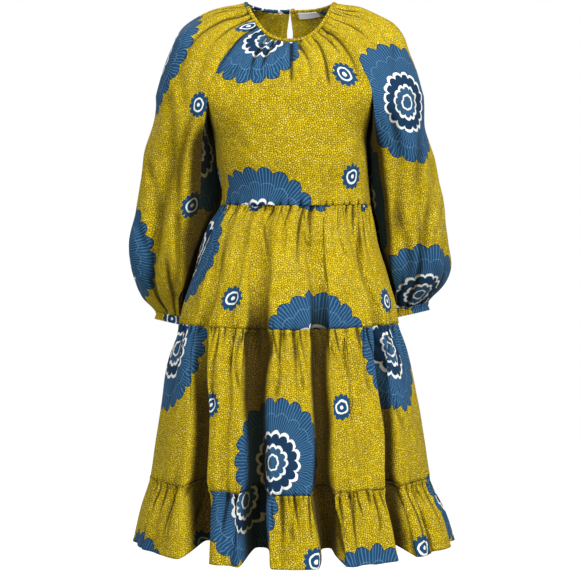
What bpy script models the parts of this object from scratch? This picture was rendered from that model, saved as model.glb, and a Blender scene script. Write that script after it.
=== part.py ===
"""Knee-length puff sleeve dress, filled out as worn, every piece of cloth a thin wall.

Metres, +Z up, the front faces -Y. The origin lies between the shoulders at the height of the
neck's sides, where the wearer holds the dress up. A "drop" is a distance below that height.
Rings run counterclockwise seen from above. Each piece is a grid of points on a surface worked
out from the tables below, given its thickness along the surface's own outward directions.
"""
import math

import bmesh
import bpy
import numpy as np
from mathutils import Vector

CLOTH = 0.0015  # wall of the dress cloth
SEAM_GAP = 0.0003  # left between two pieces at their seam
UNDERARM = 0.166  # drop of the underarm point
WAIST = 0.360  # drop of the waist seam at the sides
SEAM_2 = 0.572  # drop of the seam under the first tier at the sides
SEAM_3 = 0.845  # drop of the seam under the second tier at the sides
HEM = 0.964  # drop of the hem at the sides

FRONT_COLUMNS = 24  # columns of the front and of the back between the raglan seams
SIDE_COLUMNS = 6  # columns of the body, and of the sleeve, at each underarm
CAP_COLUMNS = 24  # columns of a sleeve outside the armhole
TIER_1_COLUMNS = 96
TIER_COLUMNS = 100  # columns of tiers 2 and 3, two to a gather
FINE = 720  # samples of a ring before it is spaced evenly
BODICE_DROPS = (UNDERARM, 0.190, 0.225, 0.270, 0.315, WAIST)  # rings of the bodice and sleeves

NECK_GATHER = 0.0013  # depth of the gathers at the neck
WAIST_GATHER = 0.0026
TIER_GATHER = 0.0036
CUFF_GATHER = 0.0028
BESIDE_BODICE = 0.005  # least room between a sleeve and the bodice
BESIDE_SKIRT = 0.0065  # and the skirt, whose gathers stand out
VALLEY_LIFT = 0.50  # how far a fold raises the hem, as a part of its depth


class Table:
    """Rows of numbers under named columns, read smoothly along the first column."""

    def __init__(self, names, rows):
        self.key = names[0]
        self.columns = dict(zip(names, np.array(rows, dtype=float).T))

    def read(self, name, at):
        x, y = self.columns[self.key], self.columns[name]
        at = np.clip(np.asarray(at, dtype=float), x[0], x[-1])
        slope = np.gradient(y, x)
        k = np.clip(np.searchsorted(x, at) - 1, 0, len(x) - 2)
        width = x[k + 1] - x[k]
        t = (at - x[k]) / width
        rise = y[k] * (1 + 2 * t) * (1 - t) ** 2 + y[k + 1] * t * t * (3 - 2 * t)
        return rise + width * (slope[k] * t * (1 - t) ** 2 - slope[k + 1] * t * t * (1 - t))


# Rings over the shoulders, from the neck at level 0 to the underarm at level 7. The raglan
# columns are the angles, from the side, where the raglan seams cross the ring.
YOKE = Table(
    ("level", "half_width", "side_drop", "front_depth", "front_drop", "back_depth", "back_drop",
     "front_raglan", "back_raglan", "squareness"),
    (
        (0, 0.083, -0.003, 0.072, 0.073, 0.068, 0.006, 47, 52, 2.15),
        (1, 0.124, 0.004, 0.088, 0.086, 0.080, 0.022, 50, 55, 2.20),
        (2, 0.160, 0.018, 0.099, 0.099, 0.088, 0.040, 54, 57, 2.30),
        (3, 0.188, 0.036, 0.107, 0.112, 0.094, 0.062, 57, 58, 2.40),
        (4, 0.204, 0.057, 0.112, 0.126, 0.098, 0.087, 58, 58, 2.50),
        (5, 0.213, 0.079, 0.114, 0.140, 0.100, 0.113, 58, 58, 2.55),
        (6, 0.225, 0.112, 0.115, 0.153, 0.101, 0.140, 58, 58, 2.60),
        (7, 0.240, 0.166, 0.115, 0.166, 0.101, 0.166, 59, 59, 2.60),
    ),
)

# The body from the underarm to the hem, without its folds.
BODY = Table(
    ("drop", "half_width", "centre_x", "front_depth", "back_depth", "squareness"),
    (
        (0.166, 0.1425, 0.000, 0.115, 0.101, 3.0),
        (0.220, 0.1365, 0.000, 0.116, 0.097, 2.6),
        (0.280, 0.1350, 0.004, 0.110, 0.090, 2.4),
        (0.360, 0.1355, 0.010, 0.099, 0.085, 2.2),
        (0.390, 0.1480, 0.0035, 0.111, 0.098, 2.15),
        (0.430, 0.1590, 0.000, 0.125, 0.112, 2.1),
        (0.480, 0.1740, -0.0005, 0.141, 0.128, 2.1),
        (0.530, 0.1885, -0.0025, 0.155, 0.142, 2.1),
        (0.572, 0.1990, -0.0035, 0.165, 0.152, 2.1),
        (0.630, 0.2165, -0.0025, 0.179, 0.167, 2.1),
        (0.700, 0.2295, -0.0015, 0.191, 0.181, 2.1),
        (0.780, 0.2420, -0.0005, 0.201, 0.193, 2.1),
        (0.845, 0.2530, -0.0005, 0.209, 0.201, 2.1),
        (0.910, 0.2765, 0.004, 0.219, 0.212, 2.1),
        (0.964, 0.2895, 0.006, 0.228, 0.220, 2.1),
    ),
)

# How much lower than the sides the skirt's rings lie at the front and at the back.
SAG = Table(
    ("drop", "front", "back"),
    ((0.166, 0.000, 0.000), (0.360, 0.004, 0.002), (0.572, 0.009, 0.007),
     (0.845, 0.018, 0.016), (0.964, 0.023, 0.024)),
)

# Sleeves below the underarm: the outermost point, the centre's place from front to back, and
# the section's half sizes. The right sleeve hangs at +X.
SLEEVE_NAMES = ("drop", "outer_x", "centre_y", "half_width", "half_depth")
SLEEVE_RIGHT = Table(
    SLEEVE_NAMES,
    (
        (0.166, 0.2400, 0.000, 0.052, 0.088),
        (0.205, 0.2470, 0.008, 0.056, 0.086),
        (0.250, 0.2530, 0.016, 0.060, 0.083),
        (0.310, 0.2640, 0.028, 0.064, 0.080),
        (0.370, 0.2770, 0.040, 0.068, 0.080),
        (0.425, 0.2870, 0.052, 0.072, 0.081),
        (0.475, 0.2930, 0.062, 0.075, 0.080),
        (0.505, 0.2840, 0.076, 0.070, 0.072),
        (0.530, 0.2680, 0.091, 0.058, 0.058),
        (0.545, 0.2560, 0.099, 0.047, 0.046),
    ),
)
SLEEVE_LEFT = Table(
    SLEEVE_NAMES,
    (
        (0.166, -0.2410, 0.000, 0.052, 0.088),
        (0.205, -0.2490, 0.008, 0.058, 0.086),
        (0.250, -0.2590, 0.016, 0.064, 0.083),
        (0.310, -0.2700, 0.028, 0.071, 0.080),
        (0.370, -0.2810, 0.040, 0.077, 0.080),
        (0.425, -0.2950, 0.052, 0.080, 0.081),
        (0.460, -0.2930, 0.058, 0.078, 0.081),
        (0.505, -0.2810, 0.076, 0.070, 0.072),
        (0.540, -0.2640, 0.097, 0.057, 0.058),
        (0.561, -0.2490, 0.107, 0.047, 0.046),
    ),
)

# Folds of the skirt: where each valley runs, its depth at the waist, the two tier seams and
# the hem, and its reach to each side at the second seam and at the hem.
FOLD_NAMES = ("waist_x", "seam_2_x", "seam_3_x", "hem_x", "waist_deep", "seam_2_deep",
              "seam_3_deep", "hem_deep", "top_reach", "hem_reach")
FRONT_FOLDS = (
    (-0.100, -0.158, -0.164, -0.172, 0.000, 0.010, 0.036, 0.060, 0.014, 0.020),
    (-0.048, -0.058, -0.061, -0.061, 0.006, 0.020, 0.036, 0.058, 0.018, 0.020),
    (0.043, 0.050, 0.060, 0.071, 0.006, 0.019, 0.034, 0.056, 0.013, 0.016),
    (0.106, 0.158, 0.182, 0.202, 0.003, 0.010, 0.027, 0.046, 0.011, 0.014),
    (-0.080, -0.112, -0.116, -0.110, 0.000, 0.005, 0.005, 0.002, 0.010, 0.012),
    (0.070, 0.086, 0.090, 0.095, 0.000, 0.005, 0.005, 0.002, 0.010, 0.012),
    (0.082, 0.112, 0.128, 0.134, 0.000, 0.005, 0.005, 0.003, 0.009, 0.012),
)
BACK_FOLDS = (
    (0.100, 0.150, 0.158, 0.168, 0.002, 0.009, 0.028, 0.042, 0.014, 0.020),
    (0.040, 0.062, 0.072, 0.076, 0.004, 0.010, 0.026, 0.044, 0.014, 0.018),
    (-0.020, -0.022, -0.014, -0.010, 0.004, 0.009, 0.022, 0.038, 0.013, 0.018),
    (-0.070, -0.096, -0.100, -0.098, 0.003, 0.010, 0.027, 0.043, 0.013, 0.019),
    (-0.100, -0.160, -0.178, -0.192, 0.000, 0.006, 0.018, 0.032, 0.012, 0.018),
    (0.015, 0.022, 0.030, 0.034, 0.000, 0.005, 0.006, 0.004, 0.010, 0.013),
)

# Half the width of the slit at the centre back, at the levels of the yoke's rings.
SLIT = (0.0006, 0.0030, 0.0055, 0.0045)


def sleeve_section(table, drop):
    """The sleeve's section at a drop: centre x, centre y, half width and half depth."""
    half_width = float(table.read("half_width", drop))
    outer = float(table.read("outer_x", drop))
    return (outer - math.copysign(half_width, outer), float(table.read("centre_y", drop)),
            half_width, float(table.read("half_depth", drop)))


def smoothstep(t):
    t = np.clip(t, 0.0, 1.0)
    return t * t * (3 - 2 * t)


def even(points, count):
    """The same open line with count + 1 points, evenly spaced."""
    length = np.concatenate(([0.0], np.cumsum(np.linalg.norm(np.diff(points, axis=0), axis=1))))
    at = np.linspace(0.0, length[-1], count + 1)
    return np.stack([np.interp(at, length, points[:, k]) for k in range(3)], axis=1)


def superellipse(angle, half_width, front_depth, back_depth, squareness):
    c, s = np.cos(angle), np.sin(angle)
    power = 2.0 / squareness
    depth = np.where(s < 0, front_depth, back_depth)
    return (half_width * np.sign(c) * np.abs(c) ** power, depth * np.sign(s) * np.abs(s) ** power)


def yoke_arc(level, start, stop, count):
    """Evenly spaced points of a yoke ring between two angles in degrees."""
    read = {name: float(YOKE.read(name, level)) for name in YOKE.columns}
    angle = np.radians(np.linspace(start, stop, FINE))
    x, y = superellipse(angle, read["half_width"], read["front_depth"], read["back_depth"],
                        read["squareness"])
    toward = 1 - (1 - np.sin(angle) ** 2) ** 1.25
    centre_drop = np.where(np.sin(angle) < 0, read["front_drop"], read["back_drop"])
    drop = read["side_drop"] + (centre_drop - read["side_drop"]) * toward
    return even(np.stack([x, y, -drop], axis=1), count)


def yoke_row(level):
    """A whole ring: right sleeve, back, left sleeve, front, from the right front raglan seam."""
    front = float(YOKE.read("front_raglan", level))
    back = float(YOKE.read("back_raglan", level))
    stops = ((-front, back, CAP_COLUMNS), (back, 180 - back, FRONT_COLUMNS),
             (180 - back, 180 + front, CAP_COLUMNS), (180 + front, 360 - front, FRONT_COLUMNS))
    return np.concatenate([yoke_arc(level, a, b, count)[:-1] for a, b, count in stops])


def underarm_arc(front_point, back_point, side, away):
    """The armhole's lowest stretch, from the front to the back raglan point, bowed outwards."""
    t = np.linspace(0.0, 1.0, SIDE_COLUMNS + 1)[:, None]
    arc = front_point + (back_point - front_point) * t
    arc[:, 0] += side * (0.006 * 4 * t[:, 0] * (1 - t[:, 0]) + away)
    return arc


def body_ring(drop):
    """The body's smooth ring at a drop, evenly spaced from the right side, closed at its end."""
    angle = np.linspace(0.0, 2 * math.pi, FINE + 1)
    x, y = superellipse(angle, *(float(BODY.read(name, drop)) for name in
                                 ("half_width", "front_depth", "back_depth", "squareness")))
    x = x + float(BODY.read("centre_x", drop))
    share = np.sin(angle) ** 2
    sag = np.where(y < 0, float(SAG.read("front", drop)), float(SAG.read("back", drop)))
    return even(np.stack([x, y, -(drop + sag * share)], axis=1), FINE)


def bodice_row(drop):
    """A ring of the bodice: right side, back, left side, front, from the right raglan point."""
    top = yoke_row(7)
    corners = np.cumsum((0, CAP_COLUMNS, FRONT_COLUMNS, CAP_COLUMNS))
    right_front, right_back, left_back, left_front = top[corners]
    start = np.concatenate([
        underarm_arc(right_front, right_back, 1, 0)[:-1],
        top[corners[1]:corners[2]],
        underarm_arc(left_back, left_front, -1, 0)[:-1],
        top[corners[3]:],
    ])
    smooth = body_ring(drop)
    side_share = 0.12  # of the ring's length, under each arm
    quarter = FINE // 4
    reach = int(FINE * side_share / 2)
    stops = ((-reach, reach, SIDE_COLUMNS), (reach, 2 * quarter - reach, FRONT_COLUMNS),
             (2 * quarter - reach, 2 * quarter + reach, SIDE_COLUMNS),
             (2 * quarter + reach, FINE - reach, FRONT_COLUMNS))
    loop = np.concatenate([smooth[:-1], smooth[:-1]])
    ring = np.concatenate([even(loop[FINE + a:FINE + b + 1] if a < 0 else loop[a:b + 1], n)[:-1]
                           for a, b, n in stops])
    start = start + np.array([0.0, 0.0, UNDERARM - drop])
    return start + (ring - start) * smoothstep((drop - UNDERARM) / 0.085)


def folds_at(drop, ring):
    """How far each point of a ring is drawn inwards by the folds."""
    stations = (WAIST, SEAM_2, SEAM_3, HEM)
    length = np.linalg.norm(np.diff(ring, axis=0), axis=1).sum()
    at = np.linspace(0.0, length, len(ring))
    half = len(ring) // 2
    inwards = np.zeros(len(ring))
    for folds, part, sign in ((BACK_FOLDS, slice(0, half + 1), -1), (FRONT_FOLDS, slice(half, None), 1)):
        for row in folds:
            fold = dict(zip(FOLD_NAMES, row))
            x = np.interp(drop, stations, row[0:4])
            deep = np.interp(drop, stations, row[4:8])
            reach = np.interp(drop, (SEAM_2, HEM), (fold["top_reach"], fold["hem_reach"]))
            centre = np.interp(sign * x, sign * ring[part, 0], at[part])
            away = (at - centre + length / 2) % length - length / 2
            inwards += deep * np.exp(-(away / reach) ** 2)
    return inwards


def outward(ring):
    """Level outward directions of an evenly spaced closed ring without its repeated point."""
    ahead = np.roll(ring, -1, axis=0) - ring
    ahead[:, 2] = 0.0
    ahead /= np.linalg.norm(ahead, axis=1)[:, None]
    along = ahead + np.roll(ahead, 1, axis=0)
    across = np.stack([along[:, 1], -along[:, 0], np.zeros(len(ring))], axis=1)
    return across / np.linalg.norm(across, axis=1)[:, None]


def skirt_row(drop, count):
    """A ring of the skirt with its folds, count points from the right side."""
    smooth = body_ring(drop)
    inwards = folds_at(drop, smooth)[:-1]
    ring = smooth[:-1]
    ring = ring - outward(ring) * inwards[:, None]
    ring[:, 2] += VALLEY_LIFT * inwards * smoothstep((drop - SEAM_2) / (HEM - SEAM_2))
    picks = np.round(np.arange(count) * FINE / count).astype(int)
    return ring[picks]


def gather_wave(count, per_gather, half):
    """One value a column, from -1 to 1, uneven in size, and nothing at the side seams."""
    column = np.arange(count)
    wave = np.sin(2 * math.pi * column / per_gather + math.pi / per_gather)
    wave = wave / np.abs(wave).max()
    uneven = 0.78 + 0.22 * np.sin(column * 1.7) * np.cos(column * 0.61)
    from_seam = np.minimum(column % half, half - column % half)
    return wave * uneven * np.clip(from_seam / 2.0, 0.0, 1.0)


def tier_rows(top, bottom, shares, count, per_gather, deep, fade, hem_wave=0.0):
    """The rings of a tier, gathered under its top seam and smoother below."""
    rows = []
    wave = gather_wave(count, per_gather, count // 2)
    column = np.arange(count)
    slow = np.sin(2 * math.pi * column * 11 / count) * np.cos(2 * math.pi * column * 4 / count)
    for share in shares:
        drop = top + (bottom - top) * share
        ring = skirt_row(drop, count)
        below = drop - top
        size = deep * (0.45 + 0.55 * smoothstep(below / 0.012)) * math.exp(-below / fade)
        push = wave * size + hem_wave * share * share * slow
        rows.append(ring + outward(ring) * push[:, None])
    return np.array(rows)


def level_directions(rows):
    return np.array([outward(row) for row in rows])


def grid_directions(rows, closed):
    """Outward directions of a grid of rings, from the points beside and above."""
    if closed:
        along = np.roll(rows, -1, axis=1) - np.roll(rows, 1, axis=1)
    else:
        along = np.gradient(rows, axis=1)
    down = np.gradient(rows, axis=0)
    across = np.cross(down, along)
    return across / np.linalg.norm(across, axis=2)[:, :, None]


def push_off(points, ring, clearance):
    """Moves points out, seen from above, until they clear a ring that they hang beside."""
    centre = ring.mean(axis=0)
    bearing = np.arctan2(ring[:, 1] - centre[1], ring[:, 0] - centre[0])
    order = np.argsort(bearing)
    radius = np.hypot(ring[:, 0] - centre[0], ring[:, 1] - centre[1])
    away = points - centre
    here = np.arctan2(away[:, 1], away[:, 0])
    least = np.interp(here, bearing[order], radius[order], period=2 * math.pi) + clearance
    found = np.hypot(away[:, 0], away[:, 1])
    scale = np.maximum(1.0, least / found)
    moved = points.copy()
    moved[:, 0] = centre[0] + away[:, 0] * scale
    moved[:, 1] = centre[1] + away[:, 1] * scale
    return moved


def sleeve_ring(table, drop, side):
    """A section of the sleeve, from its front inner corner round the outside to the back."""
    centre_x, centre_y, half_width, half_depth = sleeve_section(table, drop)
    corner = math.radians(125)
    arcs = []
    for start, stop, count in ((-corner, corner, CAP_COLUMNS),
                               (corner, 2 * math.pi - corner, SIDE_COLUMNS)):
        angle = np.linspace(start, stop, FINE)
        x, y = superellipse(angle, half_width, half_depth, half_depth, 2.15)
        line = np.stack([centre_x + side * x, centre_y + y, np.full(FINE, -drop)], axis=1)
        arcs.append(even(line, count)[:-1])
    return np.concatenate(arcs)


def sleeve_rows(table, drops, side):
    """The sleeve's rings below the underarm, clear of the bodice and the skirt."""
    top = yoke_row(7)
    corners = np.cumsum((0, CAP_COLUMNS, FRONT_COLUMNS, CAP_COLUMNS))
    if side > 0:
        cap = top[corners[0]:corners[1] + 1]
    else:
        cap = top[corners[2]:corners[3] + 1][::-1]
    under = underarm_arc(cap[0], cap[-1], side, SEAM_GAP)[::-1]
    start = np.concatenate([cap[:-1], under[:-1]])
    start[0] = under[-1]
    count = CAP_COLUMNS + SIDE_COLUMNS
    column = np.arange(count)
    wave = np.where(column % 2 == 0, 1.0, -1.0) * (0.8 + 0.2 * np.sin(column * 1.9))
    slow = np.sin(2 * math.pi * column * 5 / count + side) + 0.5 * np.sin(2 * math.pi * column * 3 / count)
    bottom = drops[-1]
    rows = []
    for drop in drops:
        ring = sleeve_ring(table, drop, side)
        lowered = start + np.array([0.0, 0.0, UNDERARM - drop])
        ring = lowered + (ring - lowered) * smoothstep((drop - UNDERARM) / 0.11)
        settled = smoothstep((drop - UNDERARM) / 0.12)
        gathered = math.exp(-(bottom - drop) / 0.030)
        push = CUFF_GATHER * gathered * wave + 0.0035 * settled * (1 - gathered) * slow
        ring = ring + side * outward(ring) * push[:, None]
        if drop > UNDERARM:
            body = bodice_row(drop) if drop < WAIST else skirt_row(drop, FINE // 4)
            margin = BESIDE_BODICE if drop < WAIST else BESIDE_SKIRT
            ring = push_off(ring, body, 2 * SEAM_GAP + margin * smoothstep((drop - UNDERARM) / 0.05))
        rows.append(ring)
    return np.array(rows)


def material(name, color, roughness, metallic=0.0):
    made = bpy.data.materials.new(name)
    made.use_nodes = True
    shader = made.node_tree.nodes["Principled BSDF"]
    shader.inputs["Base Color"].default_value = (*color, 1.0)
    shader.inputs["Roughness"].default_value = roughness
    shader.inputs["Metallic"].default_value = metallic
    return made


def add_object(name, mesh, collection, finish):
    made = bpy.data.objects.new(name, mesh)
    mesh.materials.append(finish)
    collection.objects.link(made)
    return made


def add_grid(bm, points, directions, layer):
    """Adds a grid of cells whose corners are the given points, rows first."""
    rows, columns = points.shape[:2]
    made = bmesh.ops.create_grid(bm, x_segments=columns - 1, y_segments=rows - 1, size=1.0)
    for index, vert in enumerate(made["verts"]):
        j, i = divmod(index, columns)
        vert.co = Vector(points[j, i])
        vert[layer] = Vector(directions[j, i])


def draw_back(bm, distance):
    """Draws every open edge of the sheet back into the sheet, to leave a gap at the seams."""
    moves = {}
    for edge in bm.edges:
        if not edge.is_boundary:
            continue
        face = edge.link_faces[0]
        first, second = edge.verts
        inwards = face.normal.cross(second.co - first.co).normalized()
        if inwards.dot(face.calc_center_median() - first.co) < 0:
            inwards.negate()
        for vert in edge.verts:
            moves.setdefault(vert, []).append(inwards)
    for vert, found in moves.items():
        vert.co += sum(found, Vector()).normalized() * distance


def cloth(name, grids, collection, finish, thickness=CLOTH):
    """A wall of cloth: grids joined where they meet, and thickened to the inside."""
    bm = bmesh.new()
    layer = bm.verts.layers.float_vector.new("outward")
    for points, directions in grids:
        add_grid(bm, points, directions, layer)
    bmesh.ops.remove_doubles(bm, verts=bm.verts[:], dist=1e-6)
    bm.normal_update()
    draw_back(bm, SEAM_GAP / 2)
    made = bmesh.ops.extrude_face_region(bm, geom=bm.faces[:])
    for vert in made["geom"]:
        if isinstance(vert, bmesh.types.BMVert):
            vert.co -= vert[layer] * thickness
    bmesh.ops.recalc_face_normals(bm, faces=bm.faces[:])
    mesh = bpy.data.meshes.new(name)
    bm.to_mesh(mesh)
    bm.free()
    mesh.shade_smooth()
    return add_object(name, mesh, collection, finish)


def closed(grid):
    """Repeats a ring's first column at its end."""
    return np.concatenate([grid, grid[:, :1]], axis=1)


def yoke_grid():
    """Every ring over the shoulders with its gathers, and the directions out of it."""
    rows = np.array([yoke_row(level) for level in range(8)])
    directions = grid_directions(rows, closed=True)
    wave = []
    for columns, per_gather in ((CAP_COLUMNS, 4), (FRONT_COLUMNS, 2)) * 2:
        column = np.arange(columns)
        ripple = np.sin(2 * math.pi * column / per_gather + math.pi / per_gather)
        wave.append(ripple * np.clip(np.minimum(column, columns - column) / 2.0, 0.0, 1.0))
    wave = np.concatenate(wave)
    for level in range(1, 8):
        size = NECK_GATHER * (1.0, 1.5, 1.5, 1.3, 1.0, 0.7, 0.4, 0.0)[level]
        rows[level] += directions[level] * (wave * size)[:, None]
    rows[0] += directions[0] * (wave * NECK_GATHER * 0.7)[:, None]
    return rows, directions


def bodice(collection, finish):
    yoke, yoke_out = yoke_grid()
    corners = np.cumsum((0, CAP_COLUMNS, FRONT_COLUMNS, CAP_COLUMNS, FRONT_COLUMNS))
    tube = np.array([bodice_row(drop) for drop in BODICE_DROPS])
    tube_out = level_directions(tube)
    ring = SIDE_COLUMNS + FRONT_COLUMNS
    right_seam = SIDE_COLUMNS // 2
    left_seam = ring + SIDE_COLUMNS // 2

    def part(first, last):
        picks = np.arange(first, last + 1) % tube.shape[1]
        return tube[:, picks], tube_out[:, picks]

    cap = np.arange(corners[3], corners[4] + 1) % yoke.shape[1]
    cloth("front_bodice", (part(left_seam, 2 * ring + right_seam), (yoke[:, cap], yoke_out[:, cap])),
          collection, finish)

    middle = SIDE_COLUMNS + FRONT_COLUMNS // 2
    cap_middle = corners[1] + FRONT_COLUMNS // 2
    grids = [part(right_seam, middle), part(middle, left_seam)]
    for first, last, side in ((corners[1], cap_middle, 1), (cap_middle, corners[2], -1)):
        half = yoke[:, first:last + 1].copy()
        edge = -1 if side > 0 else 0
        half[:len(SLIT), edge, 0] += side * np.array(SLIT)
        grids.append((half, yoke_out[:, first:last + 1]))
    cloth("back_bodice", grids, collection, finish)


def sleeves(collection, finish):
    yoke, yoke_out = yoke_grid()
    corners = np.cumsum((0, CAP_COLUMNS, FRONT_COLUMNS, CAP_COLUMNS))
    for name, table, side, first, last in (
            ("sleeve_right", SLEEVE_RIGHT, 1, corners[0], corners[1]),
            ("sleeve_left", SLEEVE_LEFT, -1, corners[2], corners[3])):
        bottom = table.columns["drop"][-1]
        tube = sleeve_rows(table, (*BODICE_DROPS, 0.410, 0.455, 0.495, bottom - 0.018, bottom), side)
        tube_out = side * level_directions(tube)
        order = slice(None) if side > 0 else slice(None, None, -1)
        cap = yoke[:, first:last + 1][:, order]
        cap_out = yoke_out[:, first:last + 1][:, order]
        cap[-1], cap_out[-1] = tube[0, :CAP_COLUMNS + 1], tube_out[0, :CAP_COLUMNS + 1]
        cloth(name, ((closed(tube), closed(tube_out)), (cap, cap_out)), collection, finish)


def cuffs(collection, finish):
    """The gathered bands at the wrists, each with its small heading below the elastic."""
    for name, table, side in (("cuff_right", SLEEVE_RIGHT, 1), ("cuff_left", SLEEVE_LEFT, -1)):
        top = float(table.columns["drop"][-1])
        above = sleeve_rows(table, (top - 0.02, top), side)[-1]
        column = np.arange(len(above))
        wave = np.where(column % 2 == 0, 1.0, -1.0) * (0.8 + 0.2 * np.sin(column * 2.3))
        middle = above.mean(axis=0)
        rows = []
        for lower, wide, ripple in ((0.0, 1.0, 0.0), (0.006, 0.975, -0.0012), (0.014, 1.03, 0.0008)):
            ring = middle + (above - middle) * wide
            ring = ring + side * outward(ring) * (wave * ripple)[:, None]
            ring[:, 2] = above[:, 2] - lower
            rows.append(push_off(ring, skirt_row(top + lower, FINE // 4), BESIDE_SKIRT))
        rows = np.array(rows)
        cloth(name, ((closed(rows), closed(side * level_directions(rows))),), collection, finish)


def tiers(collection, finish):
    settings = (
        ("tier_1", WAIST, SEAM_2, (0, 0.07, 0.25, 0.5, 0.78, 1), TIER_1_COLUMNS, 3, WAIST_GATHER, 0.075, 0),
        ("tier_2", SEAM_2, SEAM_3, (0, 0.05, 0.17, 0.4, 0.7, 1), TIER_COLUMNS, 2, TIER_GATHER, 0.07, 0),
        ("tier_3", SEAM_3, HEM, (0, 0.12, 0.38, 0.7, 1), TIER_COLUMNS, 2, TIER_GATHER, 0.06, 0.005),
    )
    for name, top, bottom, shares, count, per_gather, deep, fade, hem_wave in settings:
        rows = tier_rows(top, bottom, shares, count, per_gather, deep, fade, hem_wave)
        directions = level_directions(rows)
        rows, directions = closed(rows), closed(directions)
        half = count // 2
        cloth(name + "_back", ((rows[:, :half + 1], directions[:, :half + 1]),), collection, finish)
        cloth(name + "_front", ((rows[:, half:], directions[:, half:]),), collection, finish)


def neck_edge(count):
    """The smooth neck edge from the centre back round to it, the way up and the way out."""
    start, stop = 90.0, 450.0
    edge = yoke_arc(0, start, stop, count)
    below = yoke_arc(0.25, start, stop, count)
    up = edge - below
    up /= np.linalg.norm(up, axis=1)[:, None]
    along = np.gradient(edge, axis=0)
    out = np.cross(along, up)
    out /= np.linalg.norm(out, axis=1)[:, None]
    return edge, up, out


def binding(collection, finish):
    """The narrow band over the neck edge, its two ends just apart at the centre back."""
    height, thick, proud, end_gap = 0.0062, 0.0034, 0.0010, 0.0012
    edge, up, out = neck_edge(60)
    edge[0, 0] -= end_gap / 2
    edge[-1, 0] += end_gap / 2
    rows = []
    for share, bulge in ((1.0, 0.0), (0.5, 0.0006), (0.0, 0.0)):
        rows.append(edge + up * (SEAM_GAP + height * share) + out * (proud + bulge))
    directions = np.array([out] * 3)
    cloth("neck_binding", ((np.array(rows), directions),), collection, finish, thick)


def label(collection, finish):
    """A bare woven label inside the back neck, on the right half."""
    count, first, last, slack = 72, 65, 71, 0.0016
    edge, up, out = neck_edge(count)
    depth = CLOTH + NECK_GATHER + slack
    rows = [edge[first:last] - up[first:last] * lower - out[first:last] * depth
            for lower in (0.001, 0.008, 0.015)]
    cloth("label", ((np.array(rows), np.array([out[first:last]] * 3)),), collection, finish, 0.0010)


def closure(collection, button_finish, loop_finish):
    """The small button on one end of the binding and the thread loop from the other."""
    edge, up, out = neck_edge(60)
    radius, thick, wire = 0.0036, 0.0024, 0.0005
    face = edge[-1] + up[-1] * 0.0034 + out[-1] * (0.0010 + 0.0006 + SEAM_GAP)
    middle = Vector(face + out[-1] * thick / 2) + Vector((0.0052, 0.0, 0.0))
    bm = bmesh.new()
    bmesh.ops.create_cone(bm, cap_ends=True, segments=20, radius1=radius, radius2=radius * 0.86,
                          depth=thick)
    turn = Vector(out[-1]).to_track_quat("Z", "Y").to_matrix()
    bmesh.ops.rotate(bm, verts=bm.verts[:], cent=(0, 0, 0), matrix=turn)
    bmesh.ops.translate(bm, verts=bm.verts[:], vec=middle)
    mesh = bpy.data.meshes.new("back_button")
    bm.to_mesh(mesh)
    bm.free()
    add_object("back_button", mesh, collection, button_finish)

    turns = np.linspace(math.radians(-140), math.radians(140), 13)
    reach = radius + wire + SEAM_GAP
    across, rise = Vector((1.0, 0.0, 0.0)), Vector(up[-1])
    points = [middle + across * reach * math.cos(a) + rise * reach * math.sin(a) for a in turns]
    low, high = points[0] - across * 0.0075, points[-1] - across * 0.0075
    curve = bpy.data.curves.new("button_loop", "CURVE")
    curve.dimensions = "3D"
    curve.bevel_depth = wire
    curve.bevel_resolution = 2
    curve.use_fill_caps = True
    spline = curve.splines.new("POLY")
    path = [low, *points, high]
    spline.points.add(len(path) - 1)
    for point, place in zip(spline.points, path):
        point.co = (*place, 1.0)
    add_object("button_loop", curve, collection, loop_finish)


def main():
    for old in list(bpy.data.objects):
        bpy.data.objects.remove(old, do_unlink=True)
    dress = bpy.data.collections.new("puff_sleeve_dress")
    bpy.context.scene.collection.children.link(dress)
    bodice(dress, material("bodice_cotton", (0.52, 0.38, 0.03), 0.85))
    sleeves(dress, material("sleeve_cotton", (0.50, 0.37, 0.03), 0.85))
    cuffs(dress, material("cuff_cotton", (0.46, 0.34, 0.03), 0.85))
    tiers(dress, material("skirt_cotton", (0.48, 0.35, 0.03), 0.85))
    binding(dress, material("binding_cotton", (0.44, 0.32, 0.03), 0.85))
    label(dress, material("label_satin", (0.86, 0.86, 0.84), 0.5))
    closure(dress, material("button_resin", (0.05, 0.04, 0.02), 0.35),
            material("loop_thread", (0.30, 0.22, 0.03), 0.8))


main()
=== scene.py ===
"""The looks of the puff sleeve dress: fine cloth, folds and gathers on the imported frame's form."""

import math

import bmesh
import bpy
import numpy as np
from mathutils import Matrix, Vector


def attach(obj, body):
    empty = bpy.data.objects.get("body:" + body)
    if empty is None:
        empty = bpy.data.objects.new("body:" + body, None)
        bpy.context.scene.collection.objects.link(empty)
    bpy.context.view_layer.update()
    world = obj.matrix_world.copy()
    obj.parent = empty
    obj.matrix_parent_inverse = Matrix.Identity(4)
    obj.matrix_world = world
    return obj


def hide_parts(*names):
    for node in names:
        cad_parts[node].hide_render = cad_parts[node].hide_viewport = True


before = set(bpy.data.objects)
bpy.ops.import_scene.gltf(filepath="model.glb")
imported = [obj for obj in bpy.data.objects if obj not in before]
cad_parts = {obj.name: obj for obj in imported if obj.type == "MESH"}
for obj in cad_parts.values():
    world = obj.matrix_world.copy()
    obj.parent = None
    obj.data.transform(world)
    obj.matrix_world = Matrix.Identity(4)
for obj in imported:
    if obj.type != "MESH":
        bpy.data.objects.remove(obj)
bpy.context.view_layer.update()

bl_info = {
    "name": "Puff Sleeve Dress",
    "version": (1, 0, 0),
    "blender": (4, 5, 0),
    "location": "3D View > Sidebar > Dress",
    "description": "Dresses the packed solids of a tiered puff sleeve dress in printed cotton",
    "category": "Object",
}

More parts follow.
